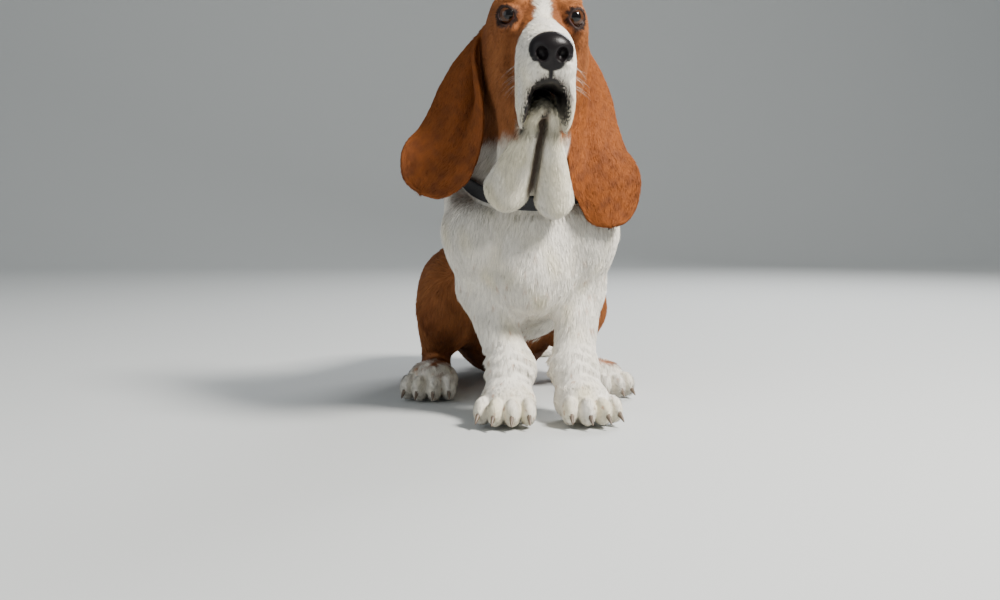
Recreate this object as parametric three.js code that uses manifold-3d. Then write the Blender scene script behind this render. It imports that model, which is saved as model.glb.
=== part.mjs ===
// A basset hound that sits and looks ahead, as a life-size still model.
// Millimetres, +Z up. The hound faces -Y, and its own left is +X.
// The flesh is one smooth distance field. It is meshed, thinned and parted by thin cuts.
import * as THREE from "three";
import { mergeVertices } from "three/addons/utils/BufferGeometryUtils.js";
import Module from "manifold-3d";

const wasm = await Module();
wasm.setup();

// Driving dimensions. The shapes are drawn for a hound DRAWN_HEIGHT tall.
const SITTING_HEIGHT = 562;
const DRAWN_HEIGHT = 511;
const SCALE = SITTING_HEIGHT / DRAWN_HEIGHT;
const GAP = 0.3 / SCALE; // between pieces that touch

// Drawn sizes
const SHOULDER_HALF = 98; // half the width over the points of the shoulders
const EYE_HALF = 35; // from the middle of the face to the centre of an eye
const EYE_RADIUS = 11.3;
const EAR_THICKNESS = 5.5;
const COLLAR_WIDTH = 18;
const COLLAR_THICKNESS = 3.2;

// The head's own frame has its origin in the middle of the skull.
const HEAD_AT = [1, -7, 453];
const HEAD_PITCH = 6.5; // degrees, nose down
const HEAD_YAW = -0.5;
const HEAD_ROLL = 1.4;

const DEGREE = Math.PI / 180;

// Distance fields. Each is a function of x, y and z in millimetres, below zero inside.

function size(x, y, z) {
  return Math.sqrt(x * x + y * y + z * z);
}

function turnMatrix([rx, ry, rz]) {
  const turn = new THREE.Euler(rx * DEGREE, ry * DEGREE, rz * DEGREE, "ZYX");
  return new THREE.Matrix4().makeRotationFromEuler(turn).elements;
}

function ball([cx, cy, cz], [a, b, c], turn = [0, 0, 0]) {
  const m = turnMatrix(turn);
  return (x, y, z) => {
    const px = x - cx;
    const py = y - cy;
    const pz = z - cz;
    const u = (m[0] * px + m[1] * py + m[2] * pz) / a;
    const v = (m[4] * px + m[5] * py + m[6] * pz) / b;
    const w = (m[8] * px + m[9] * py + m[10] * pz) / c;
    const near = size(u, v, w);
    const steep = size(u / a, v / b, w / c);
    return steep < 1e-9 ? -Math.min(a, b, c) : (near * (near - 1)) / steep;
  };
}

function bone([ax, ay, az], [bx, by, bz], ra, rb) {
  const dx = bx - ax;
  const dy = by - ay;
  const dz = bz - az;
  const length2 = dx * dx + dy * dy + dz * dz;
  return (x, y, z) => {
    const along = ((x - ax) * dx + (y - ay) * dy + (z - az) * dz) / length2;
    const t = Math.min(1, Math.max(0, along));
    return size(x - ax - t * dx, y - ay - t * dy, z - az - t * dz) - ra - t * (rb - ra);
  };
}

function blend(a, b, k) {
  const h = Math.max(k - Math.abs(a - b), 0) / k;
  return Math.min(a, b) - (h * h * k) / 4;
}

function carve(a, b, k) {
  return -blend(-a, b, k);
}

// Joins [field, softness] rows one after another.
function joined(rows) {
  return (x, y, z) => {
    let d = rows[0][0](x, y, z);
    for (let i = 1; i < rows.length; i++) d = blend(d, rows[i][0](x, y, z), rows[i][1]);
    return d;
  };
}

function mirror([x, y, z], side) {
  return [side * x, y, z];
}

function pair(make) {
  return [make(-1), make(1)];
}

// Trunk

const trunk = joined([
  [ball([0, 116, 228], [92, 136, 114], [-28, 0, 0]), 0],
  [ball([0, 32, 214], [80, 58, 78]), 30],
  [bone([0, 10, 168], [0, 130, 140], 44, 58), 30],
  [bone([0, 196, 240], [0, 330, 176], 84, 84), 40],
  [ball([0, 392, 110], [88, 88, 112]), 50],
  [bone([0, 160, 158], [0, 320, 108], 68, 74), 40],
  ...pair((s) => [ball([s * 26, 112, 322], [26, 48, 34], [-25, 0, 0]), 30]),
]);

// Fore legs: the wrists come together under the chest, and the feet turn out.

const FORE = {
  left: { side: 1, elbow: [61, 50, 152], wrist: [50, 16, 62], foot: [56, -14, 24] },
  right: { side: -1, elbow: [-52, 50, 152], wrist: [-23, 16, 62], foot: [-29, -14, 24] },
};
const SHOULDER = [SHOULDER_HALF - 32, 18, 216];
const FOOT_TURN = 12;
const TOE_ACROSS = [-25, -9, 9, 25];
const TOE_AHEAD = [27, 38, 38, 27];

function toePlaces([x, y, z], turn, side) {
  const c = Math.cos(side * turn * DEGREE);
  const s = Math.sin(side * turn * DEGREE);
  return TOE_ACROSS.map((across, i) => {
    const ahead = -TOE_AHEAD[i];
    return [x + c * across - s * ahead, y + s * across + c * ahead, z - 5];
  });
}

function footField(at, turn, side) {
  const toes = toePlaces(at, turn, side);
  return joined([
    [ball(at, [34, 40, 27], [0, 0, side * turn]), 0],
    ...toes.map((t, i) => [ball(t, [11.5, 19, 18], [0, 0, side * turn + TOE_ACROSS[i] * 0.5]), 5]),
  ]);
}

function foreLeg({ side, elbow, wrist, foot }) {
  return joined([
    [ball(mirror([60, 68, 258], side), [36, 54, 88], [-22, 0, side * 6]), 0],
    [ball(mirror(SHOULDER, side), [32, 40, 48]), 20],
    [bone(mirror(SHOULDER, side), elbow, 32, 29), 20],
    [ball([elbow[0], elbow[1] + 18, elbow[2] + 2], [23, 26, 26]), 16],
    [bone(elbow, wrist, 29, 25), 18],
    [ball([wrist[0], wrist[1] - 1, wrist[2] - 6], [29, 29, 25]), 12],
    [bone(wrist, [foot[0], foot[1] + 12, foot[2] + 8], 26, 26), 12],
    [footField(foot, FOOT_TURN, side), 10],
  ]);
}

// Hind legs, folded, with the whole foot on the ground

const HIND_FOOT = [108, 186, 22];

function hindLeg(side) {
  const at = (p) => mirror(p, side);
  return joined([
    [ball(at([82, 300, 116]), [44, 98, 70], [-12, 0, 0]), 0],
    [ball(at([90, 238, 120]), [31, 37, 40]), 24],
    [bone(at([91, 240, 104]), at([97, 332, 46]), 32, 22), 20],
    [ball(at([97, 350, 34]), [18, 22, 32]), 12],
    [bone(at([98, 342, 19]), at([103, 226, 20]), 21, 23), 12],
    [footField(at(HIND_FOOT), FOOT_TURN, side), 10],
  ]);
}

const TAIL_BEND = [34, 548, 17];
const tail = joined([
  [bone([0, 456, 80], [8, 498, 44], 28, 22), 0],
  [bone([8, 498, 44], TAIL_BEND, 21, 17), 14],
  [bone(TAIL_BEND, [86, 590, 12], 16, 12.5), 12],
  [bone([86, 590, 12], [150, 604, 8], 12.5, 7), 10],
]);

// Neck and dewlap: two loose folds hang from the throat, one on each side of a deep cleft.

const NECK_LOW = [0, 85, 265];
const NECK_HIGH = [1, 4, 412];
const neckCore = bone(NECK_LOW, NECK_HIGH, 71, 56);
const dewlap = joined([
  [bone([-9, -101, 343], [-15, -88, 324], 6, 11), 0],
  [bone([-15, -88, 324], [-33, -48, 267], 12, 27), 8],
  [bone([10, -101, 343], [12, -88, 322], 6, 10), 2],
  [bone([12, -88, 322], [18, -50, 256], 11, 23), 4],
  [bone([0, -42, 352], [-4, -8, 288], 42, 40), 8],
]);

// Head, in its own frame

const EYE = [EYE_HALF, -68, 2];
const EYE_TURN = [-4, 10, 24]; // the eyes look a little out and down, outer corners low
const LID_RADIUS = EYE_RADIUS + 2.8;
const NOSE_AT = [0, -174, -32];
const NOSE_RADII = [22.5, 15, 17];

function eyeAhead(side, distance) {
  const turn = EYE_TURN[2] * side * DEGREE;
  return [side * EYE[0] + Math.sin(turn) * distance, EYE[1] - Math.cos(turn) * distance, EYE[2] - 1];
}

const headSolid = joined([
  [ball([0, -12, 8], [47, 64, 49]), 0],
  [ball([0, 36, 22], [20, 21, 20]), 24],
  ...pair((s) => [ball([s * 36, -38, -8], [20, 36, 28]), 18]),
  ...pair((s) => [ball([s * 27, -60, 18], [18, 15, 12]), 12]),
  [bone([0, -66, -20], [0, -162, -35], 26, 21), 16],
  ...pair((s) => [ball([s * 35, -14, -48], [22, 46, 42]), 22]),
  ...pair((s) => [ball([s * 31, -40, -84], [13, 40, 34]), 18]),
  ...pair((s) => [ball([s * 12, -114, -46], [18, 64, 32]), 14]),
  [ball([0, -160, -50], [24, 22, 18]), 12],
  [ball(NOSE_AT, NOSE_RADII), 5],
  ...pair((s) => [ball([s * 11, -178, -42], [10, 10, 8]), 5]),
  ...pair((s) => [ball(mirror(EYE, s), [LID_RADIUS, LID_RADIUS, LID_RADIUS]), 6]),
  ...pair((s) => [ball([s * 36, -73, -13], [11, 7, 5]), 9]),
]);
const flews = joined(
  pair((s) => [ball([s * 22 + 1, -116, -77 - s * 2], [9, 52, 38], [0, -s * 2, 0]), 3]),
);
const lowerJaw = joined([
  [ball([1, -113, -94], [9, 14, 8]), 0],
  [bone([1, -106, -94], [0, -34, -68], 9, 30), 12],
]);
const mouthArch = ball([1, -166, -96], [15.5, 50, 28]);
const mouthSlit = ball([1, -128, -77], [13, 36, 5]);
const philtrum = bone([0, -195, -46], [0, -184, -70], 1.7, 1.4);
const lidOpenings = pair((s) => {
  const turn = [0, s * EYE_TURN[1], s * EYE_TURN[2]];
  return joined([
    [ball(eyeAhead(s, 12), [9.2, 9, 4.9], turn), 0],
    [ball(eyeAhead(s, 11), [5.8, 8.4, 7.4], turn), 2],
  ]);
});
const nostrils = pair((s) =>
  joined([
    [ball([s * 10.5, -192, -37], [6, 13, 7.8], [0, s * 24, 0]), 0],
    [bone([s * 14, -191, -42], [s * 23, -177, -45], 3, 1.8), 2],
  ]),
);

function headLocal(x, y, z) {
  let d = headSolid(x, y, z);
  d = blend(d, flews(x, y, z), 8);
  d = carve(d, mouthArch(x, y, z), 4);
  d = carve(d, mouthSlit(x, y, z), 3);
  d = blend(d, lowerJaw(x, y, z), 3);
  d = carve(d, philtrum(x, y, z), 2);
  for (const opening of lidOpenings) d = carve(d, opening(x, y, z), 1.5);
  for (const nostril of nostrils) d = carve(d, nostril(x, y, z), 1.5);
  return d;
}

const headPose = new THREE.Matrix4()
  .makeRotationFromEuler(new THREE.Euler(HEAD_PITCH * DEGREE, HEAD_ROLL * DEGREE, HEAD_YAW * DEGREE, "ZYX"))
  .setPosition(...HEAD_AT);
const toHead = headPose.clone().invert().elements;

function head(x, y, z) {
  const m = toHead;
  return headLocal(
    m[0] * x + m[4] * y + m[8] * z + m[12],
    m[1] * x + m[5] * y + m[9] * z + m[13],
    m[2] * x + m[6] * y + m[10] * z + m[14],
  );
}

const legFields = [foreLeg(FORE.left), foreLeg(FORE.right), hindLeg(1), hindLeg(-1)];

function trunkAndNeck(x, y, z) {
  return blend(trunk(x, y, z), neckCore(x, y, z), 36);
}

function flesh(x, y, z) {
  let d = trunkAndNeck(x, y, z);
  for (const leg of legFields) d = blend(d, leg(x, y, z), 18);
  d = blend(d, tail(x, y, z), 18);
  d = blend(d, head(x, y, z), 24);
  d = blend(d, dewlap(x, y, z), 8);
  return d;
}

// Meshing by tetrahedra: each cell is six of them, so the surface is always closed.

const CORNER_LISTS = [
  [0, 1, 3, 7],
  [0, 3, 2, 7],
  [0, 2, 6, 7],
  [0, 6, 4, 7],
  [0, 4, 5, 7],
  [0, 5, 1, 7],
];
const BLOCK = 4;

// Fills the grid of distances. Where a whole block is far from the surface, one value does.
function sampleField(field, low, cell, n) {
  const value = new Float32Array(n[0] * n[1] * n[2]);
  const far = BLOCK * cell * 1.6;
  for (let k0 = 0; k0 < n[2]; k0 += BLOCK)
    for (let j0 = 0; j0 < n[1]; j0 += BLOCK)
      for (let i0 = 0; i0 < n[0]; i0 += BLOCK) {
        const middle = [i0, j0, k0].map((i, axis) => low[axis] + (i + BLOCK / 2) * cell);
        const there = field(...middle);
        for (let k = k0; k < Math.min(k0 + BLOCK, n[2]); k++)
          for (let j = j0; j < Math.min(j0 + BLOCK, n[1]); j++)
            for (let i = i0; i < Math.min(i0 + BLOCK, n[0]); i++) {
              const rim = i * j * k === 0 || i === n[0] - 1 || j === n[1] - 1 || k === n[2] - 1;
              let d = there;
              if (Math.abs(there) < far) d = field(low[0] + i * cell, low[1] + j * cell, low[2] + k * cell);
              if (rim) d = Math.max(d, cell);
              value[i + n[0] * (j + n[1] * k)] = d === 0 ? 1e-6 : d;
            }
      }
  return value;
}

function meshField(field, low, high, cell) {
  const n = [0, 1, 2].map((i) => Math.ceil((high[i] - low[i]) / cell) + 1);
  const value = sampleField(field, low, cell, n);
  const step = [1, n[0], n[0] * n[1]];
  const jump = [];
  for (let m = 0; m < 8; m++) jump.push((m & 1) * step[0] + ((m >> 1) & 1) * step[1] + (m >> 2) * step[2]);
  const points = [];
  const faces = [];
  const known = new Map();
  const place = (index) => [
    low[0] + (index % n[0]) * cell,
    low[1] + (Math.floor(index / n[0]) % n[1]) * cell,
    low[2] + Math.floor(index / step[2]) * cell,
  ];
  const crossing = (base, a, b) => {
    const [from, to] = a < b ? [a, b] : [b, a];
    const key = (base + jump[from]) * 8 + (to - from);
    if (!known.has(key)) {
      const p = place(base + jump[from]);
      const q = place(base + jump[to]);
      const f = value[base + jump[from]];
      const t = Math.min(0.95, Math.max(0.05, f / (f - value[base + jump[to]])));
      known.set(key, points.length);
      points.push(p.map((v, axis) => v + t * (q[axis] - v)));
    }
    return known.get(key);
  };
  for (let k = 0; k < n[2] - 1; k++)
    for (let j = 0; j < n[1] - 1; j++)
      for (let i = 0; i < n[0] - 1; i++) {
        const base = i + j * step[1] + k * step[2];
        let inside = 0;
        for (let c = 0; c < 8; c++) if (value[base + jump[c]] < 0) inside++;
        if (inside === 0 || inside === 8) continue;
        for (const tet of CORNER_LISTS) {
          const ins = tet.filter((c) => value[base + jump[c]] < 0);
          const outs = tet.filter((c) => value[base + jump[c]] >= 0);
          if (!ins.length || !outs.length) continue;
          const even = isEven(tet, ins, outs);
          const ring = (
            ins.length === 2
              ? [[ins[0], outs[0]], [ins[0], outs[1]], [ins[1], outs[1]], [ins[1], outs[0]]]
              : ins.flatMap((a) => outs.map((b) => [a, b]))
          ).map(([a, b]) => crossing(base, a, b));
          for (let t = 2; t < ring.length; t++)
            faces.push(even ? [ring[0], ring[t - 1], ring[t]] : [ring[0], ring[t], ring[t - 1]]);
        }
      }
  return { points, faces };
}

// Whether the corners, those inside first, are an even shuffle of the tetrahedron's own order.
function isEven(tet, ins, outs) {
  const order = [...ins, ...outs].map((c) => tet.indexOf(c));
  let swaps = 0;
  for (let i = 0; i < 4; i++) for (let j = i + 1; j < 4; j++) if (order[i] > order[j]) swaps++;
  return swaps % 2 === 0;
}

// Thinning by edge collapse: each edge costs what its quadrics say the surface would move.

function planeQuadric(a, b, c) {
  const u = [b[0] - a[0], b[1] - a[1], b[2] - a[2]];
  const v = [c[0] - a[0], c[1] - a[1], c[2] - a[2]];
  const n = [u[1] * v[2] - u[2] * v[1], u[2] * v[0] - u[0] * v[2], u[0] * v[1] - u[1] * v[0]];
  const area = size(...n) / 2 || 1e-12;
  const [x, y, z] = n.map((t) => t / (2 * area));
  const d = -(x * a[0] + y * a[1] + z * a[2]);
  return [x * x, x * y, x * z, x * d, y * y, y * z, y * d, z * z, z * d, d * d].map((q) => q * area);
}

function quadricCost(q, [x, y, z]) {
  return (
    q[0] * x * x + 2 * q[1] * x * y + 2 * q[2] * x * z + 2 * q[3] * x +
    q[4] * y * y + 2 * q[5] * y * z + 2 * q[6] * y + q[7] * z * z + 2 * q[8] * z + q[9]
  );
}

function quadricBest(q, a, b) {
  const middle = [0, 1, 2].map((i) => (a[i] + b[i]) / 2);
  const [A, B, C, D, E, F, G, H, I] = q;
  const det = A * (E * H - F * F) - B * (B * H - C * F) + C * (B * F - C * E);
  const span = size(a[0] - b[0], a[1] - b[1], a[2] - b[2]);
  if (Math.abs(det) > 1e-3 * (A + E + H) ** 3) {
    const best = [
      -(D * (E * H - F * F) - G * (B * H - C * F) + I * (B * F - C * E)) / det,
      -(-D * (B * H - F * C) + G * (A * H - C * C) - I * (A * F - B * C)) / det,
      -(D * (B * F - E * C) - G * (A * F - B * C) + I * (A * E - B * B)) / det,
    ];
    if (size(best[0] - middle[0], best[1] - middle[1], best[2] - middle[2]) < span) return best;
  }
  return [middle, a, b].reduce((x, y) => (quadricCost(q, y) < quadricCost(q, x) ? y : x));
}

class Heap {
  constructor() {
    this.items = [];
  }
  push(item) {
    const h = this.items;
    h.push(item);
    let i = h.length - 1;
    while (i > 0) {
      const up = (i - 1) >> 1;
      if (h[up].cost <= h[i].cost) break;
      [h[up], h[i]] = [h[i], h[up]];
      i = up;
    }
  }
  pop() {
    const h = this.items;
    const top = h[0];
    const last = h.pop();
    if (h.length) {
      h[0] = last;
      for (let i = 0; ; ) {
        let down = 2 * i + 1;
        if (down >= h.length) break;
        if (down + 1 < h.length && h[down + 1].cost < h[down].cost) down++;
        if (h[i].cost <= h[down].cost) break;
        [h[down], h[i]] = [h[i], h[down]];
        i = down;
      }
    }
    return top;
  }
}

function normalOf(a, b, c) {
  const u = [b[0] - a[0], b[1] - a[1], b[2] - a[2]];
  const v = [c[0] - a[0], c[1] - a[1], c[2] - a[2]];
  return [u[1] * v[2] - u[2] * v[1], u[2] * v[0] - u[0] * v[2], u[0] * v[1] - u[1] * v[0]];
}

// weight(point) above 1 keeps more faces there.
function thin({ points, faces }, target, weight = () => 1) {
  const alive = faces.map(() => true);
  const around = points.map(() => new Set());
  const quadrics = points.map(() => new Array(10).fill(0));
  const stamp = new Uint32Array(points.length);
  faces.forEach((face, f) => {
    const q = planeQuadric(...face.map((v) => points[v]));
    for (const v of face) {
      around[v].add(f);
      for (let i = 0; i < 10; i++) quadrics[v][i] += q[i];
    }
  });
  const heap = new Heap();
  const offer = (a, b) => {
    const q = quadrics[a].map((v, i) => v + quadrics[b][i]);
    const at = quadricBest(q, points[a], points[b]);
    const span = size(points[a][0] - points[b][0], points[a][1] - points[b][1], points[a][2] - points[b][2]);
    const cost = (Math.max(quadricCost(q, at), 0) + 1e-3 * span ** 3) * weight(at);
    heap.push({ cost, a, b, at, ages: [stamp[a], stamp[b]] });
  };
  const neighbours = (v) => new Set([...around[v]].flatMap((f) => faces[f]).filter((w) => w !== v));
  points.forEach((_, a) => {
    for (const b of neighbours(a)) if (a < b) offer(a, b);
  });
  const flips = (v, other, at) => {
    for (const f of around[v]) {
      if (faces[f].includes(other)) continue;
      const old = normalOf(...faces[f].map((w) => points[w]));
      const now = normalOf(...faces[f].map((w) => (w === v ? at : points[w])));
      const dot = old[0] * now[0] + old[1] * now[1] + old[2] * now[2];
      if (dot < 0.35 * size(...old) * size(...now)) return true;
      const sides = [0, 1, 2].map((i) => {
        const [p, r] = [faces[f][i], faces[f][(i + 1) % 3]].map((w) => (w === v ? at : points[w]));
        return size(p[0] - r[0], p[1] - r[1], p[2] - r[2]);
      });
      if (size(...now) < 0.06 * Math.max(...sides) ** 2) return true;
    }
    return false;
  };
  let count = faces.length;
  while (count > target && heap.items.length) {
    const { a, b, at, ages } = heap.pop();
    if (ages[0] !== stamp[a] || ages[1] !== stamp[b] || !around[a].size || !around[b].size) continue;
    const near = neighbours(a);
    if (!near.has(b)) continue;
    const shared = [...neighbours(b)].filter((v) => near.has(v));
    if (shared.length !== 2 || flips(a, b, at) || flips(b, a, at)) continue;
    for (const f of [...around[b]]) {
      if (faces[f].includes(a)) {
        alive[f] = false;
        count--;
        for (const v of faces[f]) around[v].delete(f);
      } else {
        faces[f] = faces[f].map((v) => (v === b ? a : v));
        around[a].add(f);
      }
    }
    around[b].clear();
    points[a] = at;
    quadrics[a] = quadrics[a].map((v, i) => v + quadrics[b][i]);
    stamp[a]++;
    stamp[b]++;
    for (const v of neighbours(a)) offer(a, v);
  }
  const renamed = new Map();
  const kept = faces.filter((_, f) => alive[f]);
  const keptPoints = [];
  const keptFaces = kept.map((face) =>
    face.map((v) => {
      if (!renamed.has(v)) {
        renamed.set(v, keptPoints.length);
        keptPoints.push(points[v]);
      }
      return renamed.get(v);
    }),
  );
  return { points: keptPoints, faces: keptFaces };
}

// Solids

function solid({ points, faces }) {
  const mesh = new wasm.Mesh({
    numProp: 3,
    vertProperties: new Float32Array(points.flat()),
    triVerts: new Uint32Array(faces.flat()),
  });
  return new wasm.Manifold(mesh);
}

function shape(geometry, matrix = new THREE.Matrix4()) {
  geometry.deleteAttribute("normal");
  geometry.deleteAttribute("uv");
  const merged = mergeVertices(geometry.applyMatrix4(matrix), 1e-4);
  const mesh = new wasm.Mesh({
    numProp: 3,
    vertProperties: merged.attributes.position.array,
    triVerts: new Uint32Array(merged.index.array),
  });
  return new wasm.Manifold(mesh);
}

function placed([x, y, z], radii = [1, 1, 1], turn = [0, 0, 0]) {
  const [rx, ry, rz] = turn.map((t) => t * DEGREE);
  return new THREE.Matrix4().compose(
    new THREE.Vector3(x, y, z),
    new THREE.Quaternion().setFromEuler(new THREE.Euler(rx, ry, rz, "ZYX")),
    new THREE.Vector3(...radii),
  );
}

function egg(centre, radii, turn, grow = 0, segments = 16) {
  const grown = radii.map((r) => r + grow);
  return shape(new THREE.SphereGeometry(1, segments, segments / 2), placed(centre, grown, turn));
}

function block(low, high, grow = 0) {
  const span = low.map((v, i) => high[i] - v + 2 * grow);
  const centre = low.map((v, i) => (v + high[i]) / 2);
  return shape(new THREE.BoxGeometry(...span), placed(centre));
}

// Keeps only the largest closed surface of a solid.
function largest(whole) {
  return whole.decompose().reduce((a, b) => (b.volume() > a.volume() ? b : a));
}

// Parts a whole at a region: [what is in it, what is outside], a thin gap apart.
function part(whole, region) {
  return [largest(whole.intersect(region(0))), largest(whole.subtract(region(GAP)))];
}

// Ears: leather sheets. A row along the ear gives the middle, the half width and the way across.

const EARS = {
  left: {
    side: 1,
    middle: [
      [41, 12, 446],
      [56, 14, 430],
      [68, 10, 404],
      [72, 2, 374],
      [70, -8, 340],
      [71, -20, 305],
      [79, -28, 270],
      [84, -32, 225],
    ],
    half: [14, 19, 24, 28, 31, 35, 42, 36],
    twist: [6, 14, 28, 44, 62, 78, 84, 86],
    fold: [0, 3, 6, 6, 4, 2, 0, 0],
  },
  right: {
    side: -1,
    middle: [
      [-42, 12, 446],
      [-59, 13, 432],
      [-71, 8, 408],
      [-78, 2, 380],
      [-84, -3, 350],
      [-95, -8, 318],
      [-111, -12, 291],
      [-126, -14, 262],
    ],
    half: [14, 21, 29, 34, 36, 39, 42, 36],
    twist: [8, 18, 32, 46, 60, 72, 80, 82],
    fold: [0, 8, 15, 16, 11, 4, 0, 0],
  },
};
const EAR_ROWS = 17;
const EAR_COLUMNS = 8;

// A smooth curve through evenly spaced values.
function along(values, t) {
  const last = values.length - 1;
  const i = Math.min(Math.floor(t * last), last - 1);
  const f = t * last - i;
  const at = (j) => values[Math.min(last, Math.max(0, j))];
  const mix = (a, b, c, d) =>
    b + 0.5 * f * (c - a + f * (2 * a - 5 * b + 4 * c - d + f * (3 * (b - c) + d - a)));
  const four = [at(i - 1), at(i), at(i + 1), at(i + 2)];
  return Array.isArray(four[0]) ? four[0].map((_, k) => mix(...four.map((p) => p[k]))) : mix(...four);
}

const EAR_ROUND_FROM = 0.72; // where the tip starts to round off
const EAR_ROUND_POWER = 2.6;

// The place on an ear's middle sheet: t runs from root to tip, v from the front edge to the back.
function earPoint(ear, t, v, grow = 0) {
  const centre = new THREE.Vector3(...along(ear.middle, t));
  const ahead = new THREE.Vector3(...along(ear.middle, Math.min(1, t + 0.01)));
  const behind = new THREE.Vector3(...along(ear.middle, Math.max(0, t - 0.01)));
  const down = ahead.sub(behind).normalize();
  const twist = along(ear.twist, t) * DEGREE;
  const across = new THREE.Vector3(ear.side * Math.sin(twist), Math.cos(twist), 0);
  across.addScaledVector(down, -across.dot(down)).normalize();
  const out = new THREE.Vector3().crossVectors(across, down).multiplyScalar(-ear.side).normalize();
  const round = Math.max(0, (t - EAR_ROUND_FROM) / (1 - EAR_ROUND_FROM));
  const half = along(ear.half, t) * (1 - round ** EAR_ROUND_POWER) ** (1 / EAR_ROUND_POWER);
  const fold = along(ear.fold, t);
  const roll = fold * Math.exp(-(((v + 1) / 0.4) ** 2)) - 0.7 * fold * Math.exp(-(((v + 0.3) / 0.35) ** 2));
  const end = t === 0 ? -2 * grow : t === 1 ? 2 * grow : 0;
  centre.addScaledVector(down, end);
  return centre.addScaledVector(across, v * (Math.max(half, 3) + 2 * grow)).addScaledVector(out, roll);
}

function earSolid(ear, grow = 0) {
  const points = [];
  const faces = [];
  const width = EAR_COLUMNS + 1;
  const layer = (EAR_ROWS + 1) * width;
  for (const sideOut of [1, -1])
    for (let i = 0; i <= EAR_ROWS; i++)
      for (let j = 0; j < width; j++) {
        const t = Math.sin(((i / EAR_ROWS) * Math.PI) / 2) ** 0.85;
        const v = -1 + (2 * j) / EAR_COLUMNS;
        const p = earPoint(ear, t, v, grow);
        const dt = earPoint(ear, Math.min(1, t + 0.004), v).sub(earPoint(ear, Math.max(0, t - 0.004), v));
        const dv = earPoint(ear, t, v + 0.02).sub(earPoint(ear, t, v - 0.02));
        const out = dv.cross(dt).normalize().multiplyScalar(-ear.side);
        const edge = Math.abs(v) === 1 || i === EAR_ROWS ? 0.45 : 1;
        p.addScaledVector(out, sideOut * ((edge * EAR_THICKNESS) / 2 + 3 * grow));
        points.push([p.x, p.y, p.z]);
      }
  const quad = (a, b, c, d) => {
    const flip = ear.side < 0;
    faces.push(flip ? [a, c, b] : [a, b, c], flip ? [a, d, c] : [a, c, d]);
  };
  for (let i = 0; i < EAR_ROWS; i++)
    for (let j = 0; j < EAR_COLUMNS; j++) {
      const a = i * width + j;
      quad(a, a + width, a + width + 1, a + 1);
      quad(layer + a, layer + a + 1, layer + a + width + 1, layer + a + width);
    }
  for (let i = 0; i < EAR_ROWS; i++) {
    const a = i * width;
    const b = a + EAR_COLUMNS;
    quad(a, layer + a, layer + a + width, a + width);
    quad(b, b + width, layer + b + width, layer + b);
  }
  for (let j = 0; j < EAR_COLUMNS; j++) {
    const a = j;
    const b = EAR_ROWS * width + j;
    quad(a, a + 1, layer + a + 1, layer + a);
    quad(b, layer + b, layer + b + 1, b + 1);
  }
  return solid({ points, faces });
}

// Collar: a strap round the base of the neck, low in front

const COLLAR_AT = [0, 44, 281];
const COLLAR_TILT = 24; // degrees, front low
const COLLAR_STEPS = 40;
const COLLAR_LIFT = 0.4; // the strap stands this far off the neck
const COLLAR_ROOM = 14; // kept clear outside the strap
const FITTING_CLEAR = 1.5; // a flat fitting stands this far off the round strap
const BUCKLE_ANGLE = 128; // degrees round the neck from the front
const RING_ANGLE = 180;

function collarFrame() {
  return placed(COLLAR_AT, [1, 1, 1], [COLLAR_TILT, 0, 0]);
}

// How far the neck reaches from the strap's middle, in one direction in the strap's plane.
function neckReach(direction) {
  let low = 10;
  let high = 140;
  for (let i = 0; i < 24; i++) {
    const far = (low + high) / 2;
    const p = direction.clone().multiplyScalar(far).applyMatrix4(collarFrame());
    if (trunkAndNeck(p.x, p.y, p.z) < 0) low = far;
    else high = far;
  }
  return low;
}

function strap(inside, outside, halfWidth) {
  const points = [];
  const faces = [];
  for (let i = 0; i < COLLAR_STEPS; i++) {
    const angle = (i / COLLAR_STEPS) * 2 * Math.PI;
    const direction = new THREE.Vector3(Math.sin(angle), -Math.cos(angle), 0);
    const reach = neckReach(direction);
    const corners = [
      [inside, -halfWidth],
      [outside, -halfWidth * 0.9],
      [outside, halfWidth * 0.9],
      [inside, halfWidth],
    ];
    for (const [more, up] of corners) {
      const p = direction.clone().multiplyScalar(reach + more).setZ(up).applyMatrix4(collarFrame());
      points.push([p.x, p.y, p.z]);
    }
    for (let c = 0; c < 4; c++) {
      const a = i * 4 + c;
      const b = i * 4 + ((c + 1) % 4);
      const c2 = ((i + 1) % COLLAR_STEPS) * 4 + c;
      const d = ((i + 1) % COLLAR_STEPS) * 4 + ((c + 1) % 4);
      faces.push([a, d, b], [a, c2, d]);
    }
  }
  return solid({ points, faces });
}

function plate(outline, hole, depth) {
  const face = new THREE.Shape(outline);
  face.holes.push(new THREE.Path(hole));
  return new THREE.ExtrudeGeometry(face, { depth, bevelEnabled: false, curveSegments: 8 });
}

function rectangle(width, height) {
  const [w, h] = [width / 2, height / 2];
  return [[-w, -h], [w, -h], [w, h], [-w, h]].map(([x, y]) => new THREE.Vector2(x, y));
}

function letterD(radius, drop = 0) {
  const points = [];
  for (let i = 0; i <= 10; i++) {
    const angle = (-i / 10) * Math.PI;
    points.push(new THREE.Vector2(radius * Math.cos(angle), radius * Math.sin(angle) - drop));
  }
  return points.reverse();
}

// Stands a fitting on the strap's outer face, at an angle round the neck from the front.
function onStrap(degrees) {
  const outer = (more) => {
    const angle = (degrees + more) * DEGREE;
    const direction = new THREE.Vector3(Math.sin(angle), -Math.cos(angle), 0);
    return direction.clone().multiplyScalar(neckReach(direction) + COLLAR_LIFT + COLLAR_THICKNESS);
  };
  const sideways = outer(8).sub(outer(-8)).normalize();
  const up = new THREE.Vector3(0, 0, 1);
  const out = new THREE.Vector3().crossVectors(sideways, up);
  const turn = new THREE.Matrix4().makeBasis(sideways, up, out);
  const at = outer(0).addScaledVector(out, FITTING_CLEAR);
  return collarFrame().multiply(new THREE.Matrix4().makeTranslation(at)).multiply(turn);
}

// Claws: short curved cones, four on each foot

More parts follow.
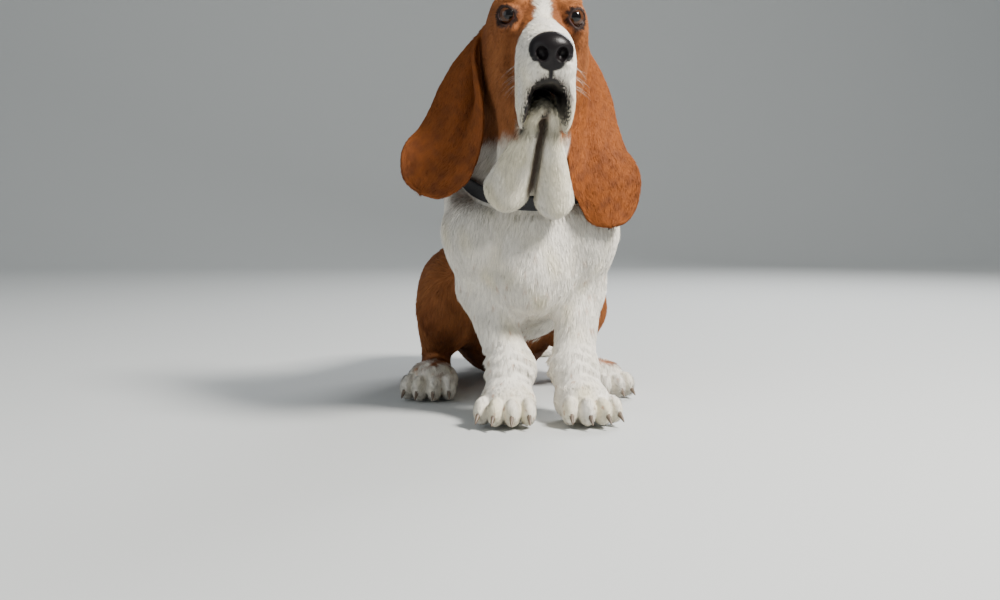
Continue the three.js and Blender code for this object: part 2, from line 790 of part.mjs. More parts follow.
const CLAW_LENGTH = 19;
const CLAW_RADIUS = 4;
const CLAW_TIP_RADIUS = 1;
const CLAW_ROOT = 10; // ahead of the toe's middle, inside the toe
const CLAW_RISE = 4; // above the toe's middle
const CLAW_PITCH = 24; // degrees, point down
const CLAW_CURVE = 4; // how far the point bends down

function clawMatrix([x, y, z], turn) {
  return placed([x, y, z + CLAW_RISE], [1, 1, 1], [CLAW_PITCH, 0, turn]);
}

function claw(matrix, grow) {
  const radii = [CLAW_TIP_RADIUS + grow, CLAW_RADIUS + grow];
  const geometry = new THREE.CylinderGeometry(...radii, CLAW_LENGTH + grow, 6, 2);
  geometry.rotateX(Math.PI / 2);
  geometry.translate(0, -CLAW_ROOT - CLAW_LENGTH / 2, 0);
  const place = geometry.attributes.position;
  for (let i = 0; i < place.count; i++) {
    const reach = (-CLAW_ROOT - place.getY(i)) / CLAW_LENGTH;
    place.setZ(i, place.getZ(i) - CLAW_CURVE * reach * reach);
  }
  return shape(geometry, matrix);
}

// Regions that part the whole. Each takes how far to grow.

const HEAD_JOINT = { at: [0, -75, 333], tilt: 37.2 };
const NECK_JOINT = { at: [0, 55, 262], tilt: COLLAR_TILT };
const TAIL_JOINT = { at: [0, 478, 58], tilt: -130.5 };
const FAR = 700;

// Everything beyond a plane square to the YZ plane
function beyond({ at, tilt }, grow = 0) {
  const half = new THREE.BoxGeometry(FAR, FAR, FAR).translate(0, 0, FAR / 2 - grow);
  return shape(half, placed(at, [1, 1, 1], [tilt, 0, 0]));
}

function jointSide({ at, tilt }, y, z) {
  return (z - at[2]) * Math.cos(tilt * DEGREE) - (y - at[1]) * Math.sin(tilt * DEGREE);
}

function rod(from, to, radius, grow) {
  const a = new THREE.Vector3(...from);
  const b = new THREE.Vector3(...to);
  const geometry = new THREE.CapsuleGeometry(radius + grow, a.distanceTo(b), 3, 12);
  const way = b.clone().sub(a).normalize();
  const turn = new THREE.Quaternion().setFromUnitVectors(new THREE.Vector3(0, 1, 0), way);
  const middle = a.add(b).multiplyScalar(0.5);
  return shape(geometry, new THREE.Matrix4().compose(middle, turn, new THREE.Vector3(1, 1, 1)));
}

const FORE_INNER = { 1: 14, "-1": -13 }; // the gap between the fore feet

function foreRegion({ side, elbow, wrist, foot }) {
  const xs = [side * 130, FORE_INNER[side]].sort((a, b) => a - b);
  return (grow) => {
    const arm = rod(elbow, wrist, 40, grow);
    const shoulder = egg([side * 84, 48, 188], [38, 66, 76], [0, 0, 0], grow);
    const paw = block([xs[0], foot[1] - 90, -30], [xs[1], foot[1] + 56, 58], grow);
    return arm.add(shoulder).add(paw);
  };
}

function hindRegion(side) {
  const xs = [side * 50, side * 180].sort((a, b) => a - b);
  return (grow) => {
    const thigh = egg([side * 94, 300, 108], [52, 116, 88], [0, 0, 0], grow);
    const paw = block([xs[0], 110, -30], [xs[1], 388, 60], grow);
    return thigh.add(paw);
  };
}

function noseRegion(grow) {
  const region = egg([0, 0, 0], [25.5, 18, 19.5], [0, 0, 0], grow);
  return region.transform(headPose.clone().multiply(placed([0, -184, -32])).elements);
}

// Building

const BODY = { low: [-165, -140, -26], high: [190, 632, 470], cell: 5, faces: 4800 };
const HEAD = { low: [-80, -204, 300], high: [82, 100, 525], cell: 2.6, faces: 3300 };
const MESH_OVERLAP = 8; // past the joint between the two meshes
const FACE_WEIGHT = 6; // how much finer the face is kept than the back of the head
const FACE_BEHIND = -50;

const COLOURS = {
  tan: [0x9c5a2e, 0.85],
  white: [0xe6ddd0, 0.85],
  rust: [0x8a4420, 0.85],
  leather: [0x17110f, 0.35],
  eye: [0x22120a, 0.12],
  claw: [0x5a4a3c, 0.5],
  strap: [0x101012, 0.7],
  metal: [0xa8a8ac, 0.3, 1],
};

const pieces = [];

function keep(name, body, [colour, roughness, metalness = 0]) {
  const mesh = body.getMesh();
  const geometry = new THREE.BufferGeometry();
  geometry.setAttribute("position", new THREE.BufferAttribute(mesh.vertProperties, 3));
  geometry.setIndex(new THREE.BufferAttribute(mesh.triVerts, 1));
  const piece = new THREE.Mesh(geometry, new THREE.MeshStandardMaterial({ color: colour, roughness, metalness }));
  piece.name = name;
  pieces.push(piece);
}

const above = block([-FAR, -FAR, 0], [FAR, FAR, FAR]);
const bodyMesh = meshField(
  (x, y, z) => Math.max(flesh(x, y, z), jointSide(HEAD_JOINT, y, z) - MESH_OVERLAP),
  BODY.low,
  BODY.high,
  BODY.cell,
);
const headMesh = meshField(
  (x, y, z) => Math.max(flesh(x, y, z), -MESH_OVERLAP - jointSide(HEAD_JOINT, y, z)),
  HEAD.low,
  HEAD.high,
  HEAD.cell,
);
const bodyWhole = solid(thin(bodyMesh, BODY.faces)).intersect(above);
const nearFace = (p) => (p[1] < FACE_BEHIND ? FACE_WEIGHT : 1);
const headWhole = solid(thin(headMesh, HEAD.faces, nearFace));

const earRoom = earSolid(EARS.left, GAP).add(earSolid(EARS.right, GAP));
const collarOutside = COLLAR_LIFT + COLLAR_THICKNESS;
const strapRoom = strap(COLLAR_LIFT - GAP, collarOutside + COLLAR_ROOM, COLLAR_WIDTH / 2 + GAP);

const eyeRadii = [EYE_RADIUS, EYE_RADIUS, EYE_RADIUS];
let skull = headWhole.intersect(beyond(HEAD_JOINT));
for (const [name, side] of [["eye_left", 1], ["eye_right", -1]]) {
  const at = new THREE.Vector3(...mirror(EYE, side)).applyMatrix4(headPose).toArray();
  skull = skull.subtract(egg(at, eyeRadii, [0, 0, 0], GAP));
  keep(name, egg(at, eyeRadii, [0, 0, 0]), COLOURS.eye);
}
const [nose, face] = part(skull, noseRegion);
keep("nose", nose, COLOURS.leather);
keep("head", largest(face.subtract(earRoom)), COLOURS.tan);
keep("ear_left", earSolid(EARS.left), COLOURS.rust);
keep("ear_right", earSolid(EARS.right), COLOURS.rust);

let rest = bodyWhole.subtract(beyond(HEAD_JOINT, GAP)).subtract(earRoom);
let neck;
[neck, rest] = part(rest, (grow) => beyond(NECK_JOINT, grow));
keep("neck", largest(neck.subtract(strapRoom)), COLOURS.white);

let tailPiece;
[tailPiece, rest] = part(rest, (grow) => beyond(TAIL_JOINT, grow));
keep("tail", tailPiece, COLOURS.white);

const limbs = [
  ["foreleg_left", foreRegion(FORE.left), FORE.left.foot, 1],
  ["foreleg_right", foreRegion(FORE.right), FORE.right.foot, -1],
  ["hindleg_left", hindRegion(1), HIND_FOOT, 1],
  ["hindleg_right", hindRegion(-1), mirror(HIND_FOOT, -1), -1],
];
for (const [name, region, foot, side] of limbs) {
  let limb;
  [limb, rest] = part(rest, region);
  toePlaces(foot, FOOT_TURN, side).forEach((toe, i) => {
    const matrix = clawMatrix(toe, side * FOOT_TURN + TOE_ACROSS[i] * 0.5);
    limb = limb.subtract(claw(matrix, GAP));
    keep(`claw_${name}_${i + 1}`, claw(matrix, 0), COLOURS.claw);
  });
  keep(name, largest(limb), COLOURS.white);
}
keep("torso", largest(rest.subtract(strapRoom)), COLOURS.white);

keep("collar_band", strap(COLLAR_LIFT, collarOutside, COLLAR_WIDTH / 2), COLOURS.strap);
const buckle = plate(rectangle(24, 17), rectangle(16, 9), 3);
keep("collar_buckle", shape(buckle, onStrap(BUCKLE_ANGLE)), COLOURS.metal);
const ring = plate(letterD(12, -6), letterD(8, -3.5), 2.6);
keep("collar_ring", shape(ring, onStrap(RING_ANGLE)), COLOURS.metal);

// At real size, with the origin under the middle of the bounding box

const hound = new THREE.Group();
hound.scale.setScalar(SCALE);
hound.add(...pieces);
hound.updateMatrixWorld(true);
const bounds = new THREE.Box3().setFromObject(hound);
hound.position.set(-(bounds.min.x + bounds.max.x) / 2, -(bounds.min.y + bounds.max.y) / 2, 0);

export default hound;
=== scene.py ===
"""A basset hound that sits and looks ahead, with its fur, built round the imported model.

The shapes are drawn in millimetres in the hound's own frame, as in the part's source,
and placed in the scene in metres. The hound faces -Y, and its own left is +X.
"""

import math

import bpy
import numpy as np
from mathutils import Euler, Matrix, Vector
from mathutils.bvhtree import BVHTree


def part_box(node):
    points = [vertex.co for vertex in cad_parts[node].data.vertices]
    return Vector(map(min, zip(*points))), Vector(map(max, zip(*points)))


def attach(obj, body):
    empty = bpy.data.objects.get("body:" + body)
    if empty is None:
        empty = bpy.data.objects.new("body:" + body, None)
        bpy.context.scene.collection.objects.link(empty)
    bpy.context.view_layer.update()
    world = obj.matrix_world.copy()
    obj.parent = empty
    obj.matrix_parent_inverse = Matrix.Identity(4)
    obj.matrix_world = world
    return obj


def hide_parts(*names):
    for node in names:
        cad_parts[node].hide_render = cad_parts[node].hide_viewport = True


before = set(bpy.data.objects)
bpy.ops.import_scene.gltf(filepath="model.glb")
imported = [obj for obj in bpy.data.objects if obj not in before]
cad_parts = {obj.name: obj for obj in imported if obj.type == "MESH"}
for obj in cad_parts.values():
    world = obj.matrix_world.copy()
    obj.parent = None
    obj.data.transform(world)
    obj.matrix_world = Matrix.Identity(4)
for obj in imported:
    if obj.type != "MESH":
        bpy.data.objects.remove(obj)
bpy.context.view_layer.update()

# Sizes as drawn, and the step from them to the scene
SITTING_HEIGHT = 562
DRAWN_HEIGHT = 511
SCALE = SITTING_HEIGHT / DRAWN_HEIGHT
SHOULDER_HALF = 98
EYE_HALF = 35
EYE_RADIUS = 11.3
HEAD_AT = (1, -7, 453)
HEAD_TURN = (6.5, 1.4, -0.5)
EYE = (EYE_HALF, -68, 2)
EYE_TURN = (-4, 10, 24)
SEED = 7

F = np.float32


def turn_matrix(turn):
    rx, ry, rz = (math.radians(t) for t in turn)
    cx, cy, cz = math.cos(rx), math.cos(ry), math.cos(rz)
    sx, sy, sz = math.sin(rx), math.sin(ry), math.sin(rz)
    about_x = np.array([[1, 0, 0], [0, cx, -sx], [0, sx, cx]])
    about_y = np.array([[cy, 0, sy], [0, 1, 0], [-sy, 0, cy]])
    about_z = np.array([[cz, -sz, 0], [sz, cz, 0], [0, 0, 1]])
    return (about_z @ about_y @ about_x).astype(F)


HEAD_MATRIX = turn_matrix(HEAD_TURN)


def to_head(p):
    return (p - np.array(HEAD_AT, F)) @ HEAD_MATRIX


def from_head(p):
    return np.asarray(p, F) @ HEAD_MATRIX.T + np.array(HEAD_AT, F)


low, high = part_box("eye_left")
TO_METRES = SCALE / 1000
SHIFT = (np.array(low) + np.array(high)) / 2 - from_head(EYE) * TO_METRES


def to_scene(p):
    return np.asarray(p, float) * TO_METRES + SHIFT


# Distance fields over arrays of points, below zero inside


def dot(a, b):
    return np.einsum("ij,ij->i", a, b)


def length(v):
    return np.sqrt(dot(v, v))


def unit(v):
    return v / np.maximum(length(v), 1e-9)[:, None]


def smooth(a, b, x):
    t = np.clip((x - a) / (b - a), 0, 1)
    return t * t * (3 - 2 * t)


def ball(centre, radii, turn=(0, 0, 0)):
    centre, radii = np.array(centre, F), np.array(radii, F)
    axes = turn_matrix(turn) / radii

    def field(p):
        local = (p - centre) @ axes
        near = np.maximum(length(local), 1e-5)
        return near * (near - 1) / np.maximum(length(local / radii), 1e-7)

    return field


def bone(a, b, ra, rb):
    a, b = np.array(a, F), np.array(b, F)
    d = b - a

    def field(p):
        t = np.clip((p - a) @ d / (d @ d), 0, 1)
        return length(p - a - t[:, None] * d) - ra - t * (rb - ra)

    return field


def blend(a, b, k):
    h = np.maximum(k - np.abs(a - b), 0) / k
    return np.minimum(a, b) - h * h * k / 4


def carve(a, b, k):
    return -blend(-a, b, k)


def joined(rows):
    def field(p):
        d = rows[0][0](p)
        for other, k in rows[1:]:
            d = blend(d, other(p), k)
        return d

    return field


FAR = 90.0


def in_box(p, low, high):
    return np.all((p > low) & (p < high), axis=1)


def within(field, low, high):
    """Works the field out only in a box, and calls everything outside it far."""
    low, high = np.array(low, F), np.array(high, F)

    def limited(p):
        d = np.full(len(p), FAR, F)
        near = in_box(p, low, high)
        if near.any():
            d[near] = field(p[near])
        return d

    return limited


def mirror(p, side):
    return (side * p[0], p[1], p[2])


def pair(make):
    return [make(-1), make(1)]


def both(centre, radii, k):
    """A ball on each side, with how softly it blends in."""
    return pair(lambda side: (ball(mirror(centre, side), radii), k))


# Trunk and legs

trunk = joined([
    (ball((0, 116, 228), (92, 136, 114), (-28, 0, 0)), 0),
    (ball((0, 32, 214), (80, 58, 78)), 30),
    (bone((0, 10, 168), (0, 130, 140), 44, 58), 30),
    (bone((0, 196, 240), (0, 330, 176), 84, 84), 40),
    (ball((0, 392, 110), (88, 88, 112)), 50),
    (bone((0, 160, 158), (0, 320, 108), 68, 74), 40),
    *pair(lambda s: (ball((s * 26, 112, 322), (26, 48, 34), (-25, 0, 0)), 30)),
])

FORE = {
    "left": {"side": 1, "elbow": (61, 50, 152), "wrist": (50, 16, 62), "foot": (56, -14, 24)},
    "right": {"side": -1, "elbow": (-52, 50, 152), "wrist": (-23, 16, 62), "foot": (-29, -14, 24)},
}
SHOULDER = (SHOULDER_HALF - 32, 18, 216)
HIND_FOOT = (108, 186, 22)
FOOT_TURN = 12
TOE_ACROSS = (-25, -9, 9, 25)
TOE_AHEAD = (27, 38, 38, 27)


def toe_places(foot, side):
    turn = math.radians(side * FOOT_TURN)
    c, s = math.cos(turn), math.sin(turn)
    return [
        (foot[0] + c * across + s * ahead, foot[1] + s * across - c * ahead, foot[2] - 5)
        for across, ahead in zip(TOE_ACROSS, TOE_AHEAD)
    ]


def foot_field(foot, side):
    toes = zip(toe_places(foot, side), TOE_ACROSS)
    return joined([
        (ball(foot, (34, 40, 27), (0, 0, side * FOOT_TURN)), 0),
        *[(ball(t, (11.5, 19, 18), (0, 0, side * FOOT_TURN + a * 0.5)), 4) for t, a in toes],
    ])


def fore_leg(side, elbow, wrist, foot):
    rows = joined([
        (ball(mirror((60, 68, 258), side), (36, 54, 88), (-22, 0, side * 6)), 0),
        (ball(mirror(SHOULDER, side), (32, 40, 48)), 20),
        (bone(mirror(SHOULDER, side), elbow, 32, 29), 20),
        (ball((elbow[0], elbow[1] + 18, elbow[2] + 2), (23, 26, 26)), 16),
        (bone(elbow, wrist, 29, 25), 18),
        (ball((wrist[0], wrist[1] - 1, wrist[2] - 6), (29, 29, 25)), 12),
        (bone(wrist, (foot[0], foot[1] + 12, foot[2] + 8), 26, 26), 12),
        (foot_field(foot, side), 10),
    ])
    xs = sorted((side * 175, -side * 70))
    return within(rows, (xs[0], -140, -60), (xs[1], 190, 400))


def hind_leg(side):
    def at(p):
        return mirror(p, side)

    rows = joined([
        (ball(at((82, 300, 116)), (44, 98, 70), (-12, 0, 0)), 0),
        (ball(at((90, 238, 120)), (31, 37, 40)), 24),
        (bone(at((91, 240, 104)), at((97, 332, 46)), 32, 22), 20),
        (ball(at((97, 350, 34)), (18, 22, 32)), 12),
        (bone(at((98, 342, 19)), at((103, 226, 20)), 21, 23), 12),
        (foot_field(at(HIND_FOOT), side), 10),
    ])
    xs = sorted((side * 220, -side * 20))
    return within(rows, (xs[0], 60, -60), (xs[1], 460, 250))


TAIL_BEND = (34, 548, 17)
TAIL_END = (150, 604, 8)
tail_rows = [
    (bone((0, 456, 80), (8, 498, 44), 28, 22), 0),
    (bone((8, 498, 44), TAIL_BEND, 21, 17), 14),
    (bone(TAIL_BEND, (86, 590, 12), 16, 12.5), 12),
    (bone((86, 590, 12), TAIL_END, 12.5, 7), 10),
]
tail = within(joined(tail_rows), (-90, 370, -60), (220, 680, 180))

# Neck and dewlap

NECK_LOW = (0, 85, 265)
NECK_HIGH = (1, 4, 412)
neck_core = bone(NECK_LOW, NECK_HIGH, 71, 56)
dewlap = within(
    joined([
        (bone((-9, -101, 343), (-15, -88, 324), 6, 11), 0),
        (bone((-15, -88, 324), (-33, -48, 267), 12, 27), 8),
        (bone((10, -101, 343), (12, -88, 322), 6, 10), 2),
        (bone((12, -88, 322), (18, -50, 256), 11, 23), 4),
        (bone((0, -42, 352), (-4, -8, 288), 42, 40), 8),
    ]),
    (-130, -180, 180),
    (130, 110, 440),
)

# Head, in its own frame

LID_RADIUS = EYE_RADIUS + 2.8
NOSE_AT = (0, -174, -32)
NOSE_RADII = (22.5, 15, 17)


def eye_ahead(side, distance):
    turn = math.radians(EYE_TURN[2] * side)
    return (side * EYE[0] + math.sin(turn) * distance, EYE[1] - math.cos(turn) * distance, EYE[2] - 1)


head_solid = joined([
    (ball((0, -12, 8), (47, 64, 49)), 0),
    (ball((0, 36, 22), (20, 21, 20)), 24),
    *both((36, -38, -8), (20, 36, 28), 18),
    *both((27, -60, 18), (18, 15, 12), 12),
    (bone((0, -66, -20), (0, -162, -35), 26, 21), 16),
    *both((35, -14, -48), (22, 46, 42), 22),
    *both((31, -40, -84), (13, 40, 34), 18),
    *both((12, -114, -46), (18, 64, 32), 14),
    (ball((0, -160, -50), (24, 22, 18)), 12),
    (ball(NOSE_AT, NOSE_RADII), 5),
    *both((11, -178, -42), (10, 10, 8), 5),
    *both(EYE, (LID_RADIUS,) * 3, 6),
    *both((36, -73, -13), (11, 7, 5), 9),
])
flews = joined(pair(lambda s: (ball((s * 22 + 1, -116, -77 - s * 2), (9, 52, 38), (0, -s * 2, 0)), 3)))
lower_jaw = joined([
    (ball((1, -113, -94), (9, 14, 8)), 0),
    (bone((1, -106, -94), (0, -34, -68), 9, 30), 12),
])
mouth_arch = ball((1, -166, -96), (15.5, 50, 28))
mouth_slit = ball((1, -128, -77), (13, 36, 5))
philtrum = bone((0, -195, -46), (0, -184, -70), 1.7, 1.4)
EYE_ROLL = EYE_TURN[1]
lid_openings = pair(
    lambda s: joined([
        (ball(eye_ahead(s, 12), (9.2, 9, 4.9), (0, s * EYE_ROLL, s * EYE_TURN[2])), 0),
        (ball(eye_ahead(s, 11), (5.8, 8.4, 7.4), (0, s * EYE_ROLL, s * EYE_TURN[2])), 2),
    ])
)
nostrils = pair(
    lambda s: joined([
        (ball((s * 10.5, -192, -37), (6, 13, 7.8), (0, s * 24, 0)), 0),
        (bone((s * 14, -191, -42), (s * 23, -177, -45), 3, 1.8), 2),
    ])
)


def head_local(q):
    d = head_solid(q)
    d = blend(d, flews(q), 8)
    d = carve(d, mouth_arch(q), 4)
    d = carve(d, mouth_slit(q), 3)
    d = blend(d, lower_jaw(q), 3)
    d = carve(d, philtrum(q), 2)
    for opening in lid_openings:
        d = carve(d, opening(q), 1.5)
    for nostril in nostrils:
        d = carve(d, nostril(q), 1.5)
    return d


head = within(lambda p: head_local(to_head(p)), (-125, -240, 250), (125, 140, 570))

# Ears: leather sheets that hang from the skull

EARS = {
    "left": {
        "side": 1,
        "middle": [
            (41, 12, 446), (56, 14, 430), (68, 10, 404), (72, 2, 374),
            (70, -8, 340), (71, -20, 305), (79, -28, 270), (84, -32, 225),
        ],
        "half": [14, 19, 24, 28, 31, 35, 42, 36],
        "twist": [6, 14, 28, 44, 62, 78, 84, 86],
        "fold": [0, 3, 6, 6, 4, 2, 0, 0],
    },
    "right": {
        "side": -1,
        "middle": [
            (-42, 12, 446), (-59, 13, 432), (-71, 8, 408), (-78, 2, 380),
            (-84, -3, 350), (-95, -8, 318), (-111, -12, 291), (-126, -14, 262),
        ],
        "half": [14, 21, 29, 34, 36, 39, 42, 36],
        "twist": [8, 18, 32, 46, 60, 72, 80, 82],
        "fold": [0, 8, 15, 16, 11, 4, 0, 0],
    },
}
EAR_ROWS = 90
EAR_COLUMNS = 36
EAR_HALF_THICK = 2.3
EAR_ROOT_EXTRA = 5
EAR_EDGE_LESS = 0.6
EAR_ROUND_FROM = 0.72
EAR_ROUND_POWER = 2.6
EAR_REACH = 30.0
EAR_ROOM = 28
ROLL_CREST = (-1, 0.36)  # where the front edge rolls out, and how wide
ROLL_HOLLOW = (-0.36, 0.27)
HOLLOW_SHARE = 1.05
WAVE_HEIGHT = 1.6


def along(values, t):
    """A smooth curve through evenly spaced values."""
    values = np.asarray(values, float)
    last = len(values) - 1
    i = min(int(t * last), last - 1)
    f = t * last - i
    a, b, c, d = (values[min(last, max(0, j))] for j in (i - 1, i, i + 1, i + 2))
    return b + 0.5 * f * (c - a + f * (2 * a - 5 * b + 4 * c - d + f * (3 * (b - c) + d - a)))


def hump(v, at, wide):
    return np.exp(-(((v - at) / wide) ** 2))


def ear_row(ear, t, v):
    """The points of the ear's middle sheet at t from root to tip, for v from front edge to back."""
    side = ear["side"]
    centre = along(ear["middle"], t)
    down = along(ear["middle"], min(1, t + 0.01)) - along(ear["middle"], max(0, t - 0.01))
    down /= np.linalg.norm(down)
    twist = math.radians(along(ear["twist"], t))
    across = np.array([side * math.sin(twist), math.cos(twist), 0])
    across -= across.dot(down) * down
    across /= np.linalg.norm(across)
    out = -side * np.cross(across, down)
    round_off = max(0, (t - EAR_ROUND_FROM) / (1 - EAR_ROUND_FROM))
    half = max(along(ear["half"], t) * (1 - round_off**EAR_ROUND_POWER) ** (1 / EAR_ROUND_POWER), 3)
    roll = along(ear["fold"], t) * (hump(v, *ROLL_CREST) - HOLLOW_SHARE * hump(v, *ROLL_HOLLOW))
    wave = WAVE_HEIGHT * np.sin(v * 5 + t * 9) * smooth(0.35, 0.8, np.array(t)) * np.abs(v) ** 1.5
    return centre + np.outer(v * half, across) + np.outer(roll + wave, out)


def ear_sheet(ear):
    ts = np.sin(np.linspace(0, 1, EAR_ROWS + 1) * math.pi / 2) ** 0.85
    vs = np.linspace(-1, 1, EAR_COLUMNS + 1)
    points = np.array([ear_row(ear, t, vs) for t in ts])
    w = EAR_COLUMNS + 1
    i, j = np.meshgrid(np.arange(EAR_ROWS), np.arange(EAR_COLUMNS), indexing="ij")
    a = (i * w + j).ravel()
    quads = np.stack([a, a + w, a + w + 1, a + 1], axis=1)
    tree = BVHTree.FromPolygons(points.reshape(-1, 3).tolist(), quads.tolist())
    middle_t = (ts[i] + ts[i + 1]).ravel() / 2
    middle_v = (vs[j] + vs[j + 1]).ravel() / 2
    down = unit((points[1:, :-1] - points[:-1, :-1]).reshape(-1, 3))
    box = (points.min((0, 1)), points.max((0, 1)))
    return {"tree": tree, "t": middle_t, "v": middle_v, "down": down, "box": box}


ear_sheets = {name: ear_sheet(ear) for name, ear in EARS.items()}


def nearest_on_ear(name, p, reach):
    """Distance to the ear's middle sheet, and the sheet's face nearest to each point."""
    find = ear_sheets[name]["tree"].find_nearest
    distance = np.full(len(p), reach, F)
    face = np.zeros(len(p), int)
    for i, point in enumerate(p.tolist()):
        hit = find(point, reach)
        if hit[3] is not None:
            distance[i] = hit[3]
            face[i] = hit[2]
    return distance, face


def ear_field(name):
    sheet = ear_sheets[name]
    low, high = sheet["box"]

    def field(p):
        distance, face = nearest_on_ear(name, p, EAR_REACH)
        t, v = sheet["t"][face], sheet["v"][face]
        thick = EAR_HALF_THICK + EAR_ROOT_EXTRA * (1 - smooth(0, 0.16, t))
        thick = thick - EAR_EDGE_LESS * smooth(0.75, 1, np.abs(v))
        return (distance - thick).astype(F)

    return within(field, low - EAR_ROOM, high + EAR_ROOM)


ear_fields = {name: ear_field(name) for name in EARS}

legs = [fore_leg(**FORE["left"]), fore_leg(**FORE["right"]), hind_leg(1), hind_leg(-1)]

NECK_BLEND = 36
LIMB_BLEND = 18
HEAD_BLEND = 24
DEWLAP_BLEND = 8


def trunk_and_neck(p):
    return blend(trunk(p), neck_core(p), NECK_BLEND)


def flesh(p):
    d = trunk_and_neck(p)
    for leg in legs:
        d = blend(d, leg(p), LIMB_BLEND)
    d = blend(d, tail(p), LIMB_BLEND)
    d = blend(d, head(p), HEAD_BLEND)
    return blend(d, dewlap(p), DEWLAP_BLEND)


# Folds of loose skin: grooves along lines, as (from, to, depth, half width)

HEAD_GROOVES = [
    row
    for s in (-1, 1)
    for row in (
        ((s * 40, -82, -24), (s * 37, -76, -100), 2.6, 4.5),
        ((s * 50, -52, -20), (s * 46, -50, -104), 2.2, 5),
        ((s * 24, -88, -8), (s * 46, -68, -20), 1.4, 3),
        ((s * 22, -84, 15), (s * 46, -62, 15), 1.5, 2.6),
        ((s * 9, -58, 40), (s * 16, -76, 10), 1.3, 3.4),
        ((s * 20, -48, 46), (s * 30, -62, 28), 1.0, 3.4),
        ((s * 22, -150, -100), (s * 24, -80, -106), 1.2, 3),
    )
]
CLEFT = ((2, -112, 344), (-8, -66, 262))
THROAT_GROOVES = [
    (*CLEFT, 9, 4),
    ((-24, -96, 330), (-44, -74, 280), 2.6, 4),
    ((-42, -70, 350), (-58, -56, 300), 3.0, 5),
    ((24, -90, 320), (32, -70, 270), 2.0, 4),
    ((46, -66, 346), (58, -50, 300), 3.0, 5),
]
FOLDS_ABOVE = 250
FOLDS_AHEAD = 60
WRINKLE_LENGTH = 15
WRINKLE_DEPTH = 1.1
WRIST_LOW = (44, 56)
WRIST_HIGH = (92, 74)
WRIST_BACK = 80


def grooves(p, rows):
    total = np.zeros(len(p), F)
    for start, end, depth, half_width in rows:
        total += depth * np.exp(-((bone(start, end, 0, 0)(p) / half_width) ** 2))
    return total


def folds(p):
    """How far folds and wrinkles press the skin in, worked out where there are any."""
    total = np.zeros(len(p), F)
    up = np.nonzero((p[:, 2] > FOLDS_ABOVE) & (p[:, 1] < FOLDS_AHEAD))[0]
    total[up] = grooves(to_head(p[up]), HEAD_GROOVES) + grooves(p[up], THROAT_GROOVES)
    wrist = smooth(*WRIST_LOW, p[:, 2]) * smooth(*WRIST_HIGH, p[:, 2])
    low = np.nonzero((wrist > 0) & (p[:, 1] < WRIST_BACK))[0]
    x, y, z = p[low].T
    tilted = z + 5 * np.sin(x * 0.09 + y * 0.05 + 1) + 0.35 * y
    ring = np.sin(tilted * (2 * math.pi / WRINKLE_LENGTH))
    patches = smooth(0.1, 0.9, 0.5 + 0.5 * np.sin(x * 0.17 + z * 0.045 + 0.6))
    total[low] = WRINKLE_DEPTH * ring * patches * wrist[low]
    return total


COAT_DEPTH = 2.2
FACE_COAT_DEPTH = 0.7


def skin_depth(p):
    """How far the skin lies inside the flesh's outline, for the coat to fill."""
    q = to_head(p)
    face = 1 - smooth(-95, -45, q[:, 1] + 0.2 * np.abs(q[:, 0]))
    above_throat = smooth(-120, -80, q[:, 2])
    return COAT_DEPTH - (COAT_DEPTH - FACE_COAT_DEPTH) * face * above_throat


# The strap's place round the neck, and the room kept for it

COLLAR_AT = np.array((0, 44, 281), F)
COLLAR_TURN = turn_matrix((24, 0, 0))
COLLAR_WIDTH = 18
COLLAR_THICKNESS = 3.2
COLLAR_LIFT = 0.4
COLLAR_ROOM = 14
STRAP_MARGIN = 2
STRAP_REACH = 10
STRAP_BLEND = 3
DEWLAP_CLEAR = 3


def press_under_strap(p, d):
    """Keeps the shoulders from covering the strap, as far out as its room reaches."""
    off = np.abs(((p - COLLAR_AT) @ COLLAR_TURN)[:, 2]) - COLLAR_WIDTH / 2 - STRAP_MARGIN
    near = np.nonzero(off < STRAP_REACH)[0]
    neck = trunk_and_neck(p[near])
    room = COLLAR_LIFT + COLLAR_THICKNESS + COLLAR_ROOM
    beside_dewlap = DEWLAP_CLEAR - dewlap(p[near])
    slot = np.maximum.reduce([-neck - COAT_DEPTH, neck - room, off[near], beside_dewlap])
    d[near] = carve(d[near], slot, STRAP_BLEND)
    return d


EAR_BLEND = 7
SOLE_CLEAR = 0.6


def skin_field(p):
    d = flesh(p) + skin_depth(p) + folds(p)
    for name in EARS:
        d = blend(d, ear_fields[name](p), EAR_BLEND)
    d = press_under_strap(p, d)
    return np.maximum(d, SOLE_CLEAR - p[:, 2])


# Meshing by surface nets on a graded grid, worked out only near the surface

BLOCK = 4
CORNERS = [(a, b, c) for a in (0, 1) for b in (0, 1) for c in (0, 1)]


def graded(low, fine_low, fine_high, high, fine, coarse):
    parts = [np.arange(fine_low, low - coarse, -coarse)[::-1], np.arange(fine_low, fine_high, fine)[1:]]
    parts.append(np.arange(parts[1][-1] + coarse, high + coarse, coarse))
    axis = np.concatenate(parts)
    extra = (-(len(axis) - 1)) % BLOCK
    return np.concatenate([axis, axis[-1] + coarse * np.arange(1, extra + 1)]).astype(F)


def to_cells(blocks):
    """Gives each block's value to all the cells in it."""
    for axis in range(3):
        blocks = np.repeat(blocks, BLOCK, axis)
    return blocks


def lattice(places):
    """A point at every crossing of three rows of places."""
    return np.stack(np.meshgrid(*places, indexing="ij"), -1).reshape(-1, 3)


